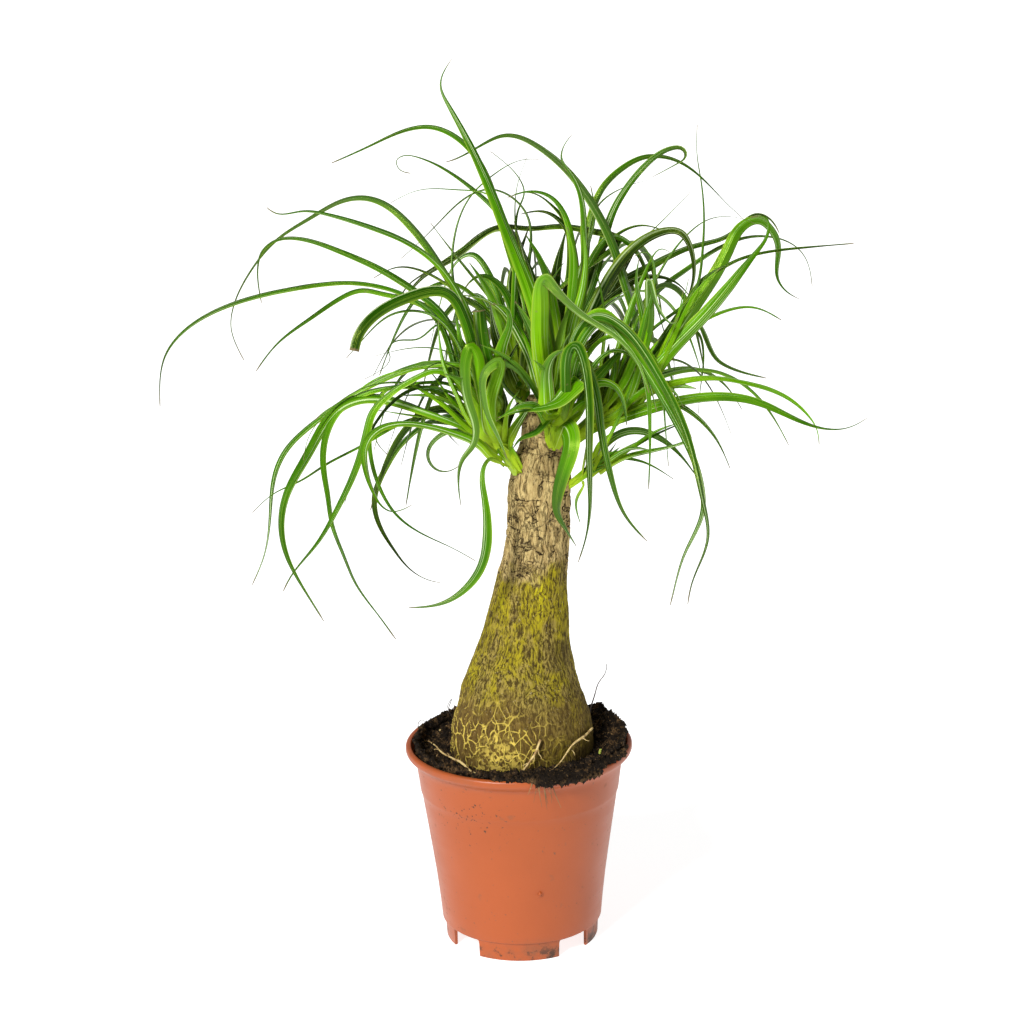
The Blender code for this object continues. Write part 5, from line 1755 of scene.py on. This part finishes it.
class PALM_OT_thin_leaves(bpy.types.Operator):
    """Grows the thinner leaves, the hearts and the leaves behind, one piece for each kind on each shoot"""

    bl_idname = "palm.thin_leaves"
    bl_label = "Thin leaves"

    def execute(self, context):
        shape = blade_shape(context.scene.palm_leaf, bpy.data.materials["ponytail_leaf"])
        for number, shoot in enumerate(SHOOTS):
            chance = np.random.default_rng(11 + number)
            kinds = [("thin_leaves", thin_leaves_of), ("heart_leaves", heart_leaves_of)]
            if shoot in REAR_FANS:
                kinds.append(("rear_leaves", rear_leaves_of))
            for label, leaves_of in kinds:
                leaves = Leaves()
                leaves_of(shoot, leaves, chance)
                keep(shape.run(f"{shoot}_{label}", leaves.mesh(label), Sides=12), "leaf")
        return {"FINISHED"}


# --- the stage ------------------------------------------------------------------------------------


class PALM_OT_stage(bpy.types.Operator):
    """Sets the pale floor, the soft studio light and the camera"""

    bl_idname = "palm.stage"
    bl_label = "Stage"

    def execute(self, context):
        settings = context.scene.palm_stage
        context.scene.view_settings.view_transform = "Standard"
        self.make_floor(settings)
        context.scene.world = self.make_sky(settings)
        self.add_sun("key", settings.key, (-0.60, -1.0, 1.15), 0.22)
        self.add_sun("rim", settings.key * 0.06, (1.2, 0.8, 1.5), 0.6)
        self.add_camera(context)
        return {"FINISHED"}

    @staticmethod
    def make_sky(settings):
        """Even white light that is weaker from overhead than from the sides."""
        world = bpy.data.worlds.new("studio")
        world.use_nodes = True
        sky = Graph(world.node_tree)
        height = sky.separate(sky.add("ShaderNodeTexCoord", out="Generated")).also("Z")
        strength = settings.low + height.between(0.12, 0.60) * (settings.high - settings.low)
        background = world.node_tree.nodes["Background"]
        background.inputs["Color"].default_value = (1, 1, 1, 1)
        world.node_tree.links.new(strength.socket, background.inputs["Strength"])
        return world

    @staticmethod
    def make_floor(settings):
        """A wide sheet of pale paper that gives off a little light of its own."""
        mesh = bpy.data.meshes.new("floor")
        with editing(mesh) as bm:
            bmesh.ops.create_grid(bm, x_segments=8, y_segments=8, size=8)
        floor = new_object("floor", mesh)
        finish = Finish("floor_paper")
        tint = finish.noise(finish.place, 3.0, 2.0)
        finish.set(Base_Color=finish.mix(tint * 0.02, settings.floor, (0.50, 0.50, 0.50)), Roughness=0.9)
        finish.set(Specular_IOR_Level=0.0, Emission_Color=(1, 1, 1, 1), Emission_Strength=settings.glow)
        mesh.materials.append(finish.material)

    @staticmethod
    def add_sun(name, strength, place, angle):
        """A soft sun that shines from this place towards the plant's middle."""
        light = bpy.data.lights.new(name, "SUN")
        light.energy = strength
        light.angle = angle
        lamp = new_object(name, light)
        lamp.location = place
        aim = PLANT_MIDDLE - Vector(place)
        lamp.rotation_euler = aim.to_track_quat("-Z", "Y").to_euler()

    @staticmethod
    def add_camera(context):
        view = bpy.data.cameras.new("camera")
        view.lens = CAMERA_LENS
        view.sensor_width = CAMERA_SENSOR
        camera = new_object("camera", view)
        camera.location = CAMERA_PLACE
        ahead = Vector((0, math.cos(CAMERA_PITCH), -math.sin(CAMERA_PITCH)))
        camera.rotation_euler = ahead.to_track_quat("-Z", "Y").to_euler()
        camera.rotation_euler.rotate_axis("Z", -CAMERA_ROLL)
        context.scene.camera = camera


class PALM_PT_panel(bpy.types.Panel):
    """Lists the operators and their settings"""

    bl_idname = "PALM_PT_panel"
    bl_label = "Potted Ponytail Palm"
    bl_space_type = "VIEW_3D"
    bl_region_type = "UI"
    bl_category = "Ponytail Palm"

    def draw(self, context):
        for operator, owner in PANEL_ROWS:
            box = self.layout.box()
            box.operator(operator.bl_idname, text=operator.bl_label)
            if owner:
                group = getattr(context.scene, owner)
                for name in group.bl_rna.properties.keys():
                    if name not in ("rna_type", "name"):
                        box.prop(group, name)


PANEL_ROWS = (
    (PALM_OT_pot, "palm_pot"),
    (PALM_OT_soil, "palm_soil"),
    (PALM_OT_trunk, "palm_trunk"),
    (PALM_OT_roots, None),
    (PALM_OT_leaves, "palm_leaf"),
    (PALM_OT_shoots, None),
    (PALM_OT_thin_leaves, None),
    (PALM_OT_stage, "palm_stage"),
)
OPERATORS = tuple(operator for operator, _ in PANEL_ROWS)


def register():
    for group in (*SETTINGS.values(), *OPERATORS, PALM_PT_panel):
        bpy.utils.register_class(group)
    for name, group in SETTINGS.items():
        setattr(bpy.types.Scene, name, PointerProperty(type=group))


def unregister():
    for name in SETTINGS:
        delattr(bpy.types.Scene, name)
    for group in (PALM_PT_panel, *reversed(OPERATORS), *SETTINGS.values()):
        bpy.utils.unregister_class(group)


def main():
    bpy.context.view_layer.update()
    register()
    for operator in OPERATORS:
        group, name = operator.bl_idname.split(".")
        getattr(getattr(bpy.ops, group), name)()


if __name__ == "__main__":
    main()
